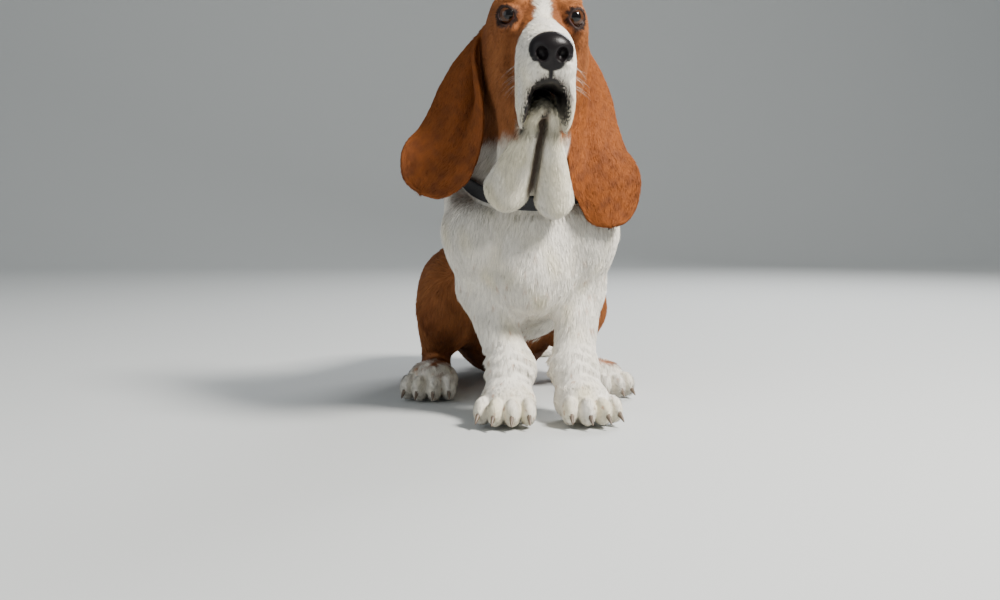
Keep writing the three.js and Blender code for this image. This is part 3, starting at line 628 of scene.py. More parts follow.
def grid_values(field, axes):
    edges = [a[::BLOCK] for a in axes]
    there = field(lattice([(e[:-1] + e[1:]) / 2 for e in edges]))
    reach = length(lattice([np.diff(e) / 2 for e in edges]))
    near = (np.abs(there) < reach * 1.25 + 2).reshape([len(e) - 1 for e in edges])
    value = np.pad(to_cells(there.reshape(near.shape)), 1, mode="edge")[1:, 1:, 1:]
    filled = to_cells(near)
    wanted = np.zeros(value.shape, bool)
    for at in CORNERS:
        wanted[tuple(slice(o, n + o) for o, n in zip(at, filled.shape))] |= filled
    i, j, k = np.nonzero(wanted)
    points = np.stack([axes[0][i], axes[1][j], axes[2][k]], 1)
    value[i, j, k] = in_chunks(field, points)
    value[value == 0] = 1e-5
    return value


def in_chunks(field, points, size=200000):
    return np.concatenate([field(points[s : s + size]) for s in range(0, len(points), size)])


def surface_net(field, axes):
    value = grid_values(field, axes)
    inside = value < 0

    def corner(array, at):
        return array[tuple(slice(o, n - 1 + o) for o, n in zip(at, array.shape))]

    count = sum(corner(inside, at).astype(np.int8) for at in CORNERS)
    cells = np.nonzero((count > 0) & (count < 8))
    number = np.full(count.shape, -1, np.int32)
    number[cells] = np.arange(len(cells[0]))
    total = np.zeros((len(cells[0]), 3))
    hits = np.zeros(len(cells[0]))
    for at in CORNERS:
        for axis in range(3):
            if at[axis]:
                continue
            ends = (at, tuple(1 if n == axis else v for n, v in enumerate(at)))
            f0, f1 = (value[tuple(c + o for c, o in zip(cells, end))] for end in ends)
            p0, p1 = (np.stack([axes[n][cells[n] + end[n]] for n in range(3)], 1) for end in ends)
            cut = (f0 < 0) != (f1 < 0)
            t = np.where(cut, f0 / np.where(cut, f0 - f1, 1), 0)
            total += np.where(cut[:, None], p0 + t[:, None] * (p1 - p0), 0)
            hits += cut
    vertices = (total / hits[:, None]).astype(F)
    quads = []
    for axis in range(3):
        near = [slice(1, -1)] * 3
        near[axis] = slice(0, -1)
        far = list(near)
        far[axis] = slice(1, None)
        a, b = inside[tuple(near)], inside[tuple(far)]
        edge = np.nonzero(a != b)
        outward = a[edge]
        base = [e + (0 if n == axis else 1) for n, e in enumerate(edge)]
        u, w = [(1, 2), (2, 0), (0, 1)][axis]
        ring = []
        for du, dw in ((1, 1), (0, 1), (0, 0), (1, 0)):
            at = [x.copy() for x in base]
            at[u] -= du
            at[w] -= dw
            ring.append(number[tuple(at)])
        ring = np.stack(ring, 1)
        ring[~outward] = ring[~outward][:, ::-1]
        quads.append(ring)
    return vertices, np.concatenate(quads)


def gradient(field, p, step=0.4):
    g = np.zeros_like(p)
    for signs in ((1, 1, 1), (1, -1, -1), (-1, 1, -1), (-1, -1, 1)):
        g += field(p + step * np.array(signs, F))[:, None] * np.array(signs, F)
    return g / (4 * step)


# Shapes in Blender


def new_mesh(name, vertices, faces):
    """A mesh object from arrays: faces of one size, given as rows of vertex numbers."""
    mesh = bpy.data.meshes.new(name)
    n = faces.shape[1]
    mesh.vertices.add(len(vertices))
    mesh.vertices.foreach_set("co", np.ascontiguousarray(vertices, dtype=F).ravel())
    mesh.loops.add(faces.size)
    mesh.loops.foreach_set("vertex_index", np.ascontiguousarray(faces, dtype=np.int32).ravel())
    mesh.polygons.add(len(faces))
    mesh.polygons.foreach_set("loop_start", np.arange(0, faces.size, n, dtype=np.int32))
    mesh.update(calc_edges=True)
    mesh.validate()
    piece = bpy.data.objects.new(name, mesh)
    bpy.context.scene.collection.objects.link(piece)
    return piece


def store(piece, name, values):
    """Keeps a colour or a number for each vertex."""
    if values.ndim == 1:
        layer = piece.data.attributes.new(name, "FLOAT", "POINT")
        layer.data.foreach_set("value", np.ascontiguousarray(values, dtype=F))
        return
    layer = piece.data.color_attributes.new(name, "FLOAT_COLOR", "POINT")
    layer.data.foreach_set("color", np.hstack([values, np.ones((len(values), 1))]).astype(F).ravel())


def dress(piece, finish):
    """Smooth shading, a material and the hound's own body to ride on."""
    piece.data.polygons.foreach_set("use_smooth", np.ones(len(piece.data.polygons), bool))
    piece.data.materials.append(finish)
    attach(piece, "root")


# Noise over arrays of points: sums of turned waves, the same on every run


def waves(p, size, seed, rows=10):
    rng = np.random.default_rng(seed)
    total = np.zeros(len(p))
    for _ in range(rows):
        direction = unit(rng.normal(size=(1, 3)))[0]
        pace = 2 * math.pi / size * rng.uniform(0.6, 1.6)
        total += np.sin(p @ direction * pace + rng.uniform(0, 2 * math.pi))
    return total / math.sqrt(rows / 2)


def mix(a, b, t):
    return a + (b - a) * t[:, None]


# Where the head ends and the neck begins

HEAD_EDGE = (-75, 333)  # y and z of a line across the throat, where the head begins
HEAD_SIDE = (-0.604, 0.797)


def head_share(p):
    """How much each point belongs to the head rather than the neck."""
    beyond = (p[:, 1:] - np.array(HEAD_EDGE)) @ np.array(HEAD_SIDE)
    return smooth(-16, 8, beyond)


# Markings: an edge is the pair of places where it starts and where it is full

TAN = np.array([[0.29, 0.104, 0.033]])
DEEP = np.array([[0.15, 0.044, 0.013]])
EAR_RUST = np.array([[0.235, 0.067, 0.013]])
WHITE = np.array([[0.78, 0.74, 0.66]])
CREAM = np.array([[0.72, 0.66, 0.50]])
PINK_GREY = np.array([[0.17, 0.125, 0.125]])
BLACK = np.array([[0.007, 0.0055, 0.006]])
HAW = np.array([[0.16, 0.035, 0.035]])

BLAZE_HALF = 7
BLAZE_WIDENS_BY = 22
BLAZE_NARROWS_BY = 4
BLAZE_WIDENS = (-72, -150)
BLAZE_NARROWS = (-20, 50)
BLAZE_END = (60, 45)
BLAZE_SHIFT = 2.4
MUZZLE_BACK = -118
JOWL_LOW = (-122, -130)
JOWL_BACK = (-30, -60)
CHIN_SIDES = (24, 18)
CHIN_TOP = (-76, -84)
# Painted highlight: a paler patch of tan over each brow ridge, where the ridges catch the light
BROW_HIGHLIGHT = ball((0, -66, 17), (70, 30, 5))
BROW_MIDDLE = 31
BROW_STRETCH = 2.2


def head_white(q, ragged):
    """White of the blaze, which opens over the muzzle, and of the jowls and chin."""
    x, y, z = q.T
    wide = BLAZE_HALF + BLAZE_WIDENS_BY * smooth(*BLAZE_WIDENS, y)
    narrow = BLAZE_HALF - BLAZE_NARROWS_BY * smooth(*BLAZE_NARROWS, y)
    half = np.where(y > BLAZE_WIDENS[0], narrow, wide)
    off = np.abs(x - BLAZE_SHIFT * smooth(-120, -60, y))
    blaze = smooth(2.5, -2.5, off - half - 0.5 * ragged) * smooth(*BLAZE_END, y)
    muzzle = smooth(4, -4, y - MUZZLE_BACK + 0.75 * np.maximum(0, -80 - z) + ragged)
    jowl = smooth(*JOWL_LOW, z + 0.3 * ragged) * smooth(*JOWL_BACK, y)
    chin = smooth(*CHIN_SIDES, np.abs(x)) * smooth(*CHIN_TOP, z)
    return np.maximum.reduce([blaze, muzzle, jowl, chin])


SADDLE_AT = (128, 215)
SADDLE_SLOPE = (0.8, 0.55)
HAUNCH_FRONT = (158, 172)
HAUNCH_SIDE = (44, 60)
HAUNCH_LOW = (36, 50)
RUMP_FRONT = (300, 330)
RUMP_LOW = (24, 44)
TAIL_TIP = (572, 560)
CHEST_BACK = (65, 35)
CHEST_TOP = (328, 318)
WHITE_BELOW = (250, 235)
CHEEK_SIDE = (18, 25)
CHEEK_LOW = (310, 330)


def body_white(p, off_muzzle, ragged):
    """White of the throat, chest, legs and tail tip, round the brown saddle and haunches."""
    x, y, z = p.T
    throat = smooth(318, 306, z + 0.55 * y + 2 * ragged)
    nape = smooth(40, 62, y + 0.25 * (z - 300) + 2 * ragged) * smooth(250, 285, z)
    above_saddle = (y - SADDLE_AT[0]) * SADDLE_SLOPE[0] + (z - SADDLE_AT[1]) * SADDLE_SLOPE[1]
    saddle = smooth(-8, 8, above_saddle + 3 * ragged)
    flank = smooth(150, 175, y + 0.4 * (z - 150) + 3 * ragged) * smooth(96, 112, z + 2 * ragged)
    haunch = smooth(*HAUNCH_FRONT, y + 2 * ragged) * smooth(*HAUNCH_SIDE, np.abs(x))
    haunch *= smooth(*HAUNCH_LOW, z + ragged)
    rump = smooth(*RUMP_FRONT, y) * smooth(*RUMP_LOW, z + ragged)
    brown = np.maximum.reduce([saddle, flank, haunch, rump]) * smooth(*TAIL_TIP, y + 2 * ragged)
    chest = smooth(*CHEST_BACK, y) * smooth(*CHEST_TOP, z)
    front = np.maximum(throat, chest) * (1 - nape)
    cheek = smooth(*CHEEK_SIDE, off_muzzle) * smooth(*CHEEK_LOW, z + 0.5 * ragged)
    return (1 - brown) * np.maximum(front, smooth(*WHITE_BELOW, z)) * (1 - cheek)


def cleft_shade(p):
    """Shade in the cleft between the throat's two folds."""
    (top_x, _, top_z), (low_x, _, low_z) = CLEFT
    x, y, z = p.T
    off = np.abs(x - np.interp(z, (low_z, top_z), (low_x, top_x)))
    return smooth(8, 2, off) * smooth(-20, -40, y) * smooth(low_z - 8, low_z + 6, z) * smooth(352, 340, z)


def ear_colour(p):
    low = smooth(350, 270, p[:, 2])
    depth = 0.15 + (0.2 + 0.2 * low) * waves(p, 16, 17) + 0.1 * low
    return mix(EAR_RUST, DEEP, np.clip(depth, 0, 0.8))


NOSE_SKIN = ball((0, -180, -32), (24, 20, 18.5))
NOSE_UNDER = ball((0, -186, -46), (13, 13, 8))
STEM = ball((0, -186, -57), (3.2, 14, 15))
LIPS = ball((-0.5, -160, -99), (24, 74, 42))
NOSE_BACK = (-165, -169)
JAW_SKIN = (3.2, 1.4)
MOUTH_FLOOR = (-81, -86)


def nose_and_lips(p, q, ragged):
    """Share of nose leather, of the groove below it, of lip, of the flews' rim, and of speckles."""
    x, y, z = q.T
    nose = smooth(1.2, -1.0, NOSE_SKIN(q) + 0.3 * waves(p, 5, 18)) * smooth(*NOSE_BACK, y)
    nose = np.maximum(nose, smooth(1.5, -1, NOSE_UNDER(q)))
    stem = smooth(1.5, -1.5, STEM(q))
    arch = mouth_arch(q)
    on_jaw = smooth(*JAW_SKIN, np.minimum(np.abs(lower_jaw(q)), np.abs(dewlap(p))))
    off_jaw = 1 - on_jaw * smooth(*MOUTH_FLOOR, z + 0.5 * ragged)
    lips = smooth(1.2, -1.2, LIPS(q) + 1.6 * waves(p, 3.5, 20)) * smooth(-76, -88, y)
    roof = smooth(7, 4, np.minimum(arch, mouth_slit(q))) * smooth(-86, -80, z) * smooth(-60, -70, y)
    rim = smooth(-106, -111, z + 2 * np.sign(x)) * smooth(22, 18, np.abs(x)) * smooth(-125, -119, z)
    rim *= smooth(-90, -100, y)
    around = smooth(16, 4, arch) * smooth(-128, -140, y) * smooth(-96, -78, z)
    speckle = np.clip(around * (0.75 + 0.4 * waves(p, 3.4, 19)), 0, 0.92)
    return nose, stem, np.maximum(lips, roof) * off_jaw, rim * off_jaw, speckle * (1 - nose)


def lid_marks(p, q):
    """Share of dark lid rim, of pink inner lid, and of the lids' wet edge."""
    gaps = [opening(q) for opening in lid_openings]
    rims, haw = np.zeros(len(p)), np.zeros(len(p))
    uneven = 0.5 * waves(p, 6, 21)
    for sign, gap in zip((-1, 1), gaps):
        rims = np.maximum(rims, smooth(6.8, 3.8, gap + uneven))
        inner = smooth(4, -4, sign * q[:, 0] - EYE_HALF) * smooth(0, -4, q[:, 2] - EYE[2])
        haw = np.maximum(haw, smooth(2.2, 0.6, gap) * inner)
    return rims, haw, smooth(3.2, 1.6, np.minimum(*gaps))


def markings(p, ear_near):
    """Colour of the coat, and how bare and wet the skin is, at each point."""
    q = to_head(p)
    side = np.abs(q[:, 0])
    ragged = 3.0 * waves(p, 26, 11) + 1.5 * waves(p, 9, 12)
    shade = waves(p, 70, 13) * 0.5 + waves(p, 22, 14) * 0.3
    colour = mix(TAN, DEEP, np.clip(0.35 + 0.35 * shade, 0, 1))
    # Painted highlight: the brow ridges painted lighter tan, where they catch the light
    brow_highlight = BROW_HIGHLIGHT(np.stack([BROW_STRETCH * (side - BROW_MIDDLE), q[:, 1], q[:, 2]], 1))
    colour = mix(colour, TAN * 1.35, 0.6 * smooth(4, -3, brow_highlight))

    # White over brown, warmer under the chin and down the chest
    on_head = head_share(p)
    white = on_head * head_white(q, ragged) + (1 - on_head) * body_white(p, side, ragged)
    cream = smooth(-60, -100, q[:, 2]) * on_head + 0.6 * (1 - on_head) * smooth(-20, -60, p[:, 1])
    pale = mix(WHITE, CREAM, np.clip(cream + 0.25 * waves(p, 40, 15), 0, 1))
    ticks = 0.55 * smooth(1.75, 2.2, waves(p, 11, 16)) * smooth(215, 170, p[:, 2])
    pale = mix(pale, TAN * 1.3, ticks)
    colour = mix(colour, pale, white)
    colour = mix(colour, DEEP * 0.35, 0.85 * cleft_shade(p))
    colour = mix(colour, ear_colour(p), ear_near)

    # Bare dark skin
    nose, stem, lips, rim, speckle = nose_and_lips(p, q, ragged)
    lids, haw, wet_lids = lid_marks(p, q)
    colour = mix(colour, PINK_GREY, speckle)
    colour = mix(colour, BLACK, np.maximum.reduce([nose, stem, lips, 0.94 * lids, rim]))
    colour = mix(colour, HAW, haw)
    bare = np.maximum.reduce([nose, lips, 0.6 * stem, wet_lids])
    return np.clip(colour, 0, 1), np.clip(bare, 0, 1)


# Lie of the coat


def ways(x, y, z):
    return np.stack(np.broadcast_arrays(x, y, z), -1).reshape(-1, 3)


def flow(p, normal, ear_near, ear_down):
    """Which way the hair points at each place, along the skin."""
    outward = np.sign(p[:, 0])
    y, z = p[:, 1], p[:, 2]
    direction = ways(0.10 * outward, 0.45, -0.9)
    turns = {
        "chest": ((0.15 * outward, -0.05, -1), smooth(30, -10, y) * smooth(300, 260, z)),
        "back": ((0, 0.9, -0.45), smooth(60, 160, y) * smooth(0.2, 0.8, normal[:, 2])),
        "forelegs": ((0, 0.05, -1), smooth(150, 110, z) * smooth(110, 70, y)),
        "feet": ((0, -1, -0.35), smooth(52, 36, z) * (1 - smooth(400, 440, y))),
        "tail": ((0.5, 0.8, -0.25), smooth(450, 480, y) * smooth(100, 90, z)),
    }
    for way, share in turns.values():
        direction = mix(direction, ways(*way), share)
    x, y, z = to_head(p).T
    outward = np.sign(x)
    skull = ways(0.25 * outward, 1, -0.15)
    cheek = ways(0.1 * outward, 0.75, -0.75)
    lip = ways(0.12 * outward, 0.35, -1)
    face = mix(skull, cheek, smooth(5, -25, z))
    face = mix(face, lip, smooth(-40, -62, z) * smooth(-60, -90, y))
    direction = mix(direction, face @ HEAD_MATRIX.T, head_share(p))
    direction = mix(direction, ear_down, ear_near)
    direction = direction - dot(direction, normal)[:, None] * normal
    return unit(direction)


EAR_NEAR = 13


def ear_marks(p):
    """How much each point belongs to an ear, and which way that ear hangs there."""
    body = flesh(p)
    near = np.zeros(len(p))
    down = np.tile(np.array([0, 0, -1.0]), (len(p), 1))
    for name, sheet in ear_sheets.items():
        low, high = sheet["box"]
        index = np.nonzero(in_box(p, low - EAR_NEAR, high + EAR_NEAR))[0]
        distance, face = nearest_on_ear(name, p[index], EAR_NEAR + 1.0)
        nearer = smooth(-3, 3, body[index] - distance + 5)
        mine = np.maximum(nearer, smooth(2, 5, body[index])) * (distance < EAR_NEAR)
        take = mine > near[index]
        near[index[take]] = mine[take]
        down[index[take]] = sheet["down"][face[take]]
    return near, down


# Skin

AXES = (
    graded(-170, -170, 122, 192, 1.5, 2.9),
    graded(-206, -206, 62, 626, 1.5, 3.1),
    graded(-4, 226, 512, 522, 1.5, 3.1),
)

skin_points, skin_quads = surface_net(skin_field, AXES)
for _ in range(2):
    slope = in_chunks(lambda p: gradient(skin_field, p), skin_points)
    move = in_chunks(skin_field, skin_points) / np.maximum(dot(slope, slope), 0.25)
    skin_points = skin_points - np.clip(move, -1, 1)[:, None] * slope
skin_normals = unit(in_chunks(lambda p: gradient(skin_field, p), skin_points))
ear_near, ear_down = ear_marks(skin_points)
skin_colours, skin_bare = markings(skin_points, ear_near)

# Materials


class Finish:
    """A material, with short ways to build up its shader."""

    def __init__(self, name, **values):
        self.material = bpy.data.materials.new(name)
        self.material.use_nodes = True
        self.tree = self.material.node_tree
        self.shader = self.tree.nodes["Principled BSDF"]
        for key, value in values.items():
            self.shader.inputs[key.replace("_", " ")].default_value = value

    def node(self, kind, **values):
        made = self.tree.nodes.new("ShaderNode" + kind)
        for key, value in values.items():
            if key in made.inputs:
                made.inputs[key].default_value = value
            else:
                setattr(made, key, value)
        return made

    def link(self, source, target):
        self.tree.links.new(source, target)

    def texture(self, kind, **values):
        """A node that reads the piece's own coordinates."""
        made = self.node(kind, **values)
        self.link(self.node("TexCoord").outputs["Object"], made.inputs["Vector"])
        return made

    def noise(self, scale, detail):
        return self.texture("TexNoise", Scale=scale, Detail=detail).outputs["Fac"]

    def between(self, source, low, high):
        """A source of 0 to 1 as a value from low to high."""
        made = self.node("MapRange")
        made.inputs["To Min"].default_value = low
        made.inputs["To Max"].default_value = high
        self.link(source, made.inputs["Value"])
        return made.outputs["Result"]

    def paint(self, source, low, high):
        """The painted colour, made darker and lighter by the source."""
        varied = self.node("VectorMath", operation="SCALE")
        self.link(self.node("Attribute", attribute_name="coat").outputs["Color"], varied.inputs[0])
        self.link(self.between(source, low, high), varied.inputs["Scale"])
        self.link(varied.outputs["Vector"], self.shader.inputs["Base Color"])

    def two_colours(self, source, dark, light):
        ramp = self.node("ValToRGB")
        for stop, colour in zip(ramp.color_ramp.elements, (dark, light)):
            stop.color = (*colour, 1)
        self.link(source, ramp.inputs["Fac"])
        self.link(ramp.outputs["Color"], self.shader.inputs["Base Color"])

    def bump(self, height, strength, distance):
        made = self.node("Bump", Strength=strength, Distance=distance)
        self.link(height, made.inputs["Height"])
        self.link(made.outputs["Normal"], self.shader.inputs["Normal"])


DRY_ROUGHNESS = 0.72
WET_ROUGHNESS = 0.34


def coat_material(name, bump_size, strength):
    """Fine hairs where the skin is covered, and a pebbled wet finish where it is bare."""
    finish = Finish(name)
    finish.paint(finish.noise(45.0, 5.0), 0.82, 1.18)
    bare = finish.node("Attribute", attribute_name="bare").outputs["Fac"]
    finish.link(finish.between(bare, DRY_ROUGHNESS, WET_ROUGHNESS), finish.shader.inputs["Roughness"])
    stretch = finish.texture("Mapping", Scale=(1.0, 1.0, 0.22))
    hairs = finish.node("TexNoise", Scale=bump_size, Detail=4.0)
    finish.link(stretch.outputs["Vector"], hairs.inputs["Vector"])
    pebbles = finish.texture("TexVoronoi", Scale=560.0, feature="DISTANCE_TO_EDGE")
    low = finish.node("Math", operation="MULTIPLY")
    low.inputs[1].default_value = 0.35
    finish.link(pebbles.outputs["Distance"], low.inputs[0])
    height = finish.node("Mix", data_type="FLOAT")
    finish.link(bare, height.inputs["Factor"])
    finish.link(hairs.outputs["Fac"], height.inputs["A"])
    finish.link(low.outputs["Value"], height.inputs["B"])
    finish.bump(height.outputs["Result"], strength, 0.0008)
    finish.shader.inputs["Specular IOR Level"].default_value = 0.2
    return finish.material


def eye_material():
    finish = Finish("eye", Roughness=0.08, Specular_IOR_Level=0.4)
    finish.paint(finish.noise(600.0, 3.0), 0.7, 1.3)
    return finish.material


def whisker_material():
    finish = Finish("whisker", Roughness=0.45)
    finish.two_colours(finish.noise(90.0, 2.0), (0.34, 0.29, 0.24), (0.55, 0.50, 0.44))
    return finish.material


def claw_material():
    finish = Finish("claw", Roughness=0.42)
    streaks = finish.noise(160.0, 5.0)
    finish.two_colours(streaks, (0.035, 0.024, 0.018), (0.24, 0.18, 0.13))
    finish.bump(streaks, 0.2, 0.0005)
    return finish.material


def strap_material():
    finish = Finish("strap", Roughness=0.75)
    weave = finish.texture("TexVoronoi", Scale=900.0).outputs["Distance"]
    finish.two_colours(weave, (0.006, 0.006, 0.007), (0.028, 0.028, 0.032))
    finish.bump(weave, 0.5, 0.0006)
    return finish.material


def metal_material():
    finish = Finish("steel", Base_Color=(0.58, 0.58, 0.60, 1), Metallic=1.0)
    finish.link(finish.between(finish.noise(300.0, 4.0), 0.18, 0.42), finish.shader.inputs["Roughness"])
    return finish.material


def floor_material():
    return Finish("floor", Base_Color=(0.55, 0.57, 0.57, 1), Roughness=0.85).material


skin = new_mesh("skin", to_scene(skin_points), skin_quads)
store(skin, "coat", skin_colours)
store(skin, "bare", skin_bare)
dress(skin, coat_material("hide", 520.0, 0.5))
limbs = ("foreleg_left", "foreleg_right", "hindleg_left", "hindleg_right")
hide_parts("head", "nose", "neck", "torso", "tail", "ear_left", "ear_right", *limbs)

# Coat: short tapered tufts that lie along the skin

TUFTS = 320000
TUFTS_A_PIECE = 48000
CHARTS = 4  # the unwrap is a square of this many charts a side
CHART_MARGIN = 0.03
PATCH_HALF = 0.0015
TUFT_SINK = 0.35
TUFT_WIDTH = 0.20
TUFT_WIDER = 0.030  # wider by this share of its length
STRAY = 0.13
BODY_HAIR = 11
EAR_HAIR = 5.5
BARE_ABOVE = 0.35


def hair_length(p, near_ear):
    """Length of the hair, in drawn millimetres: shortest on the face and feet."""
    q = to_head(p)
    face = smooth(-20, -90, q[:, 1]) * smooth(-110, -80, q[:, 2])
    head_part = head_share(p)
    feet = smooth(50, 30, p[:, 2]) * (1 - smooth(400, 440, p[:, 1]))
    legs_low = smooth(150, 100, p[:, 2]) * smooth(110, 70, p[:, 1])
    throat = smooth(235, 262, p[:, 2]) * smooth(20, -20, p[:, 1])
    shorter = 4 * np.maximum(head_part, throat) + 2.7 * face * head_part + 3.5 * legs_low + 2.5 * feet
    return (BODY_HAIR - shorter) * (1 - near_ear) + EAR_HAIR * near_ear


def unwrap(p, normal, near_ear):
    """A plain unwrap of the skin: a chart for each side it can face, on the ears and elsewhere."""
    size = np.abs(normal)
    facing = np.argmax(size, axis=1)
    sign = np.take_along_axis(normal, facing[:, None], 1)[:, 0] > 0
    chart = facing * 2 + sign
    chart = np.where(near_ear > 0.5, 6 + chart, chart)
    low = np.array([AXES[0][0], AXES[1][0], AXES[2][0]])
    span = np.array([a[-1] - a[0] for a in AXES])
    local = (p - low) / span
    u = np.where(facing == 0, local[:, 1], local[:, 0])
    v = np.where(facing == 2, local[:, 1], local[:, 2])
    cell = np.stack([chart % CHARTS, chart // CHARTS], 1)
    return (cell + CHART_MARGIN + (1 - 2 * CHART_MARGIN) * np.stack([u, v], 1)) / CHARTS


def roots(rng, count):
    """Random places on the skin, more where the photo looks, with what the skin has there."""
    corners = skin_points[skin_quads]
    diagonals = np.cross(corners[:, 2] - corners[:, 0], corners[:, 3] - corners[:, 1])
    area = length(diagonals) / 2
    middle = corners.mean(1)
    seen = 0.55 + 0.9 * smooth(170, 40, middle[:, 1]) * smooth(90, 170, middle[:, 2])
    seen *= 1 + 0.5 * smooth(330, 380, middle[:, 2]) * smooth(60, 0, middle[:, 1])
    seen *= middle[:, 2] > 3
    bare = skin_bare[skin_quads].mean(1)
    weight = area * seen * (bare < BARE_ABOVE)
    face = rng.choice(len(area), count, p=weight / weight.sum())
    a, b = rng.random((2, count, 1))[:, :, 0]
    share = np.stack([(1 - a) * (1 - b), a * (1 - b), a * b, (1 - a) * b], 1)
    wanted = (skin_points, skin_normals, skin_colours, ear_near, ear_down)
    return [np.einsum("ij,ij...->i...", share, values[skin_quads[face]]) for values in wanted]


def grow_coat():
    rng = np.random.default_rng(SEED)
    found = roots(rng, TUFTS)
    order = np.argsort(found[0][:, 1] // 40 * 1000 + found[0][:, 2])
    place, normal, colour, near_ear, down = (values[order] for values in found)
    normal = unit(normal)
    lie = flow(place, normal, near_ear, down)
    across = np.cross(normal, lie)
    n = len(place)
    long = hair_length(place, near_ear) * rng.uniform(0.7, 1.15, n)
    wide = (TUFT_WIDTH + TUFT_WIDER * long) * rng.uniform(0.75, 1.25, n)
    stray = rng.normal(0, STRAY, n)
    lift = rng.uniform(0.04, 0.16, n) + 0.10 * smooth(1.6, 2.4, np.abs(rng.normal(0, 1, n)))
    lie = unit(lie + across * stray[:, None])
    across = np.cross(normal, lie)
    base = place - normal * TUFT_SINK
    tip = place + lie * long[:, None] + normal * (long * lift)[:, None]
    spread = across * wide[:, None]
    ridge = normal * (TUFT_SINK + wide * 0.7)[:, None]
    points = np.stack([base - spread, base + spread, base + ridge, tip], 1)
    points[:, :, 2] = np.maximum(points[:, :, 2], SOLE_CLEAR / 2)
    toned = colour * rng.normal(1, 0.08, n)[:, None]
    # Each tuft darker at its root and lighter at its tip: painted shade down in the coat and painted
    # light on the tips
    colours = np.stack([toned * 0.90] * 3 + [toned * 1.08], 1)
    soft = unit(normal + 0.28 * rng.normal(size=(n, 3)))
    uv = unwrap(place, normal, near_ear)
    patch = PATCH_HALF * np.array([(-1, -1), (1, -1), (0, 1), (0, 0)])
    faces = np.array([(0, 1, 3), (1, 2, 3), (2, 0, 3), (0, 2, 1)])
    finish = coat_material("fur", 900.0, 0.15)
    for number, start in enumerate(range(0, n, TUFTS_A_PIECE)):
        part = slice(start, start + TUFTS_A_PIECE)
        count = len(points[part])
        rings = (faces[None] + 4 * np.arange(count)[:, None, None]).reshape(-1, 3)
        piece = new_mesh(f"coat_{number + 1}", to_scene(points[part].reshape(-1, 3)), rings)
        store(piece, "coat", np.clip(colours[part], 0, 1).reshape(-1, 3))
        layer = piece.data.uv_layers.new(name="OFBake")
        corner_uv = (uv[part][:, None, :] + patch[None])[:, faces.ravel()]
        layer.data.foreach_set("uv", np.ascontiguousarray(corner_uv, dtype=F).ravel())
        dress(piece, finish)
        piece.data.normals_split_custom_set_from_vertices(np.repeat(soft[part], 4, axis=0).tolist())


grow_coat()

# Rings of points, closed at both ends


def tube_faces(rings, sides):
    """Triangles over rings of points, closed by one point before the first and one past the last."""
    first, last = rings * sides, (rings - 1) * sides
    faces = []
    for j in range(sides):
        k = (j + 1) % sides
        faces += [(first, k, j), (first + 1, last + j, last + k)]
        for i in range(rings - 1):
            a, b = i * sides + j, i * sides + k
            faces += [(a, b, b + sides), (a, b + sides, a + sides)]
    return np.array(faces)


def turned(middles, radii, wide, tall, ends, sides):
    """Rings of points round a line, closed by an end point before and one past it."""
    angle = np.linspace(0, 2 * math.pi, sides, endpoint=False)
    ring = np.outer(np.cos(angle), wide) + np.outer(np.sin(angle), tall)
    points = middles[:, None] + radii[:, None, None] * ring[None]
    return np.vstack([points.reshape(-1, 3), *ends]), tube_faces(len(middles), sides)


# Eyes

GAZE = {-1: (-4, 0, -3), 1: (-4, 0, 6)}
IRIS_ANGLE = math.radians(62)
PUPIL_ANGLE = math.radians(26)
IRIS = np.array([[0.060, 0.022, 0.008]])
IRIS_EDGE = np.array([[0.010, 0.005, 0.004]])
EYE_WHITE = np.array([[0.10, 0.05, 0.045]])
EYE_BULGE = 0.055
EYE_ROWS = 56
EYE_COLUMNS = 64

polar = np.linspace(0, math.pi, EYE_ROWS + 1)[1:-1]
eye_rings = np.outer(-np.cos(polar), (0, 1, 0))
eye_ends = ((0, -1, 0), (0, 1, 0))
points, faces = turned(eye_rings, np.sin(polar), (1, 0, 0), (0, 0, 1), eye_ends, EYE_COLUMNS)
angle = np.arccos(np.clip(-points[:, 1], -1, 1))
bulge = 1 + EYE_BULGE * smooth(IRIS_ANGLE * 1.15, 0, angle)
eye_colour = mix(IRIS, IRIS_EDGE, smooth(0.78, 1.0, angle / IRIS_ANGLE))
in_pupil = smooth(PUPIL_ANGLE * 1.08, PUPIL_ANGLE * 0.95, angle)
eye_colour = mix(eye_colour, BLACK * 0.3, in_pupil)
eye_colour = mix(eye_colour, EYE_WHITE, smooth(IRIS_ANGLE, IRIS_ANGLE * 1.1, angle))
eye_finish = eye_material()
for side, name in ((1, "eye_left"), (-1, "eye_right")):
    looking = (points * bulge[:, None] * EYE_RADIUS) @ turn_matrix(GAZE[side]).T
    placed = from_head(looking + np.array(mirror(EYE, side)))
    piece = new_mesh(name.replace("eye", "eyeball"), to_scene(placed), faces)
    store(piece, "coat", eye_colour)
    dress(piece, eye_finish)
    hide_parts(name)

# Whiskers: long tapered bristles in rows on the muzzle

WHISKER_ROWS = 3
WHISKERS_A_ROW = 4
WHISKER_SIDES = 6
WHISKER_STEPS = 10
WHISKER_RADIUS = 0.15
WHISKERS_FROM = (30, -152, -50)  # the first root, before it is drawn to the skin
WHISKER_GAP = 11
WHISKER_ROW_GAP = 10


def bristle(root, way, sag, long):
    """A thin curved cone from its root."""
    across = unit(np.cross(way, (0, 0, 1))[None])[0]
    t = np.arange(WHISKER_STEPS) / WHISKER_STEPS
    line = root + np.outer(long * t, way) - np.outer(sag * t * t, (0, 0, 1))
    ends = (root, root + way * long - np.array((0, 0, sag)))
    return turned(line, WHISKER_RADIUS * (1 - t), across, np.cross(across, way), ends, WHISKER_SIDES)


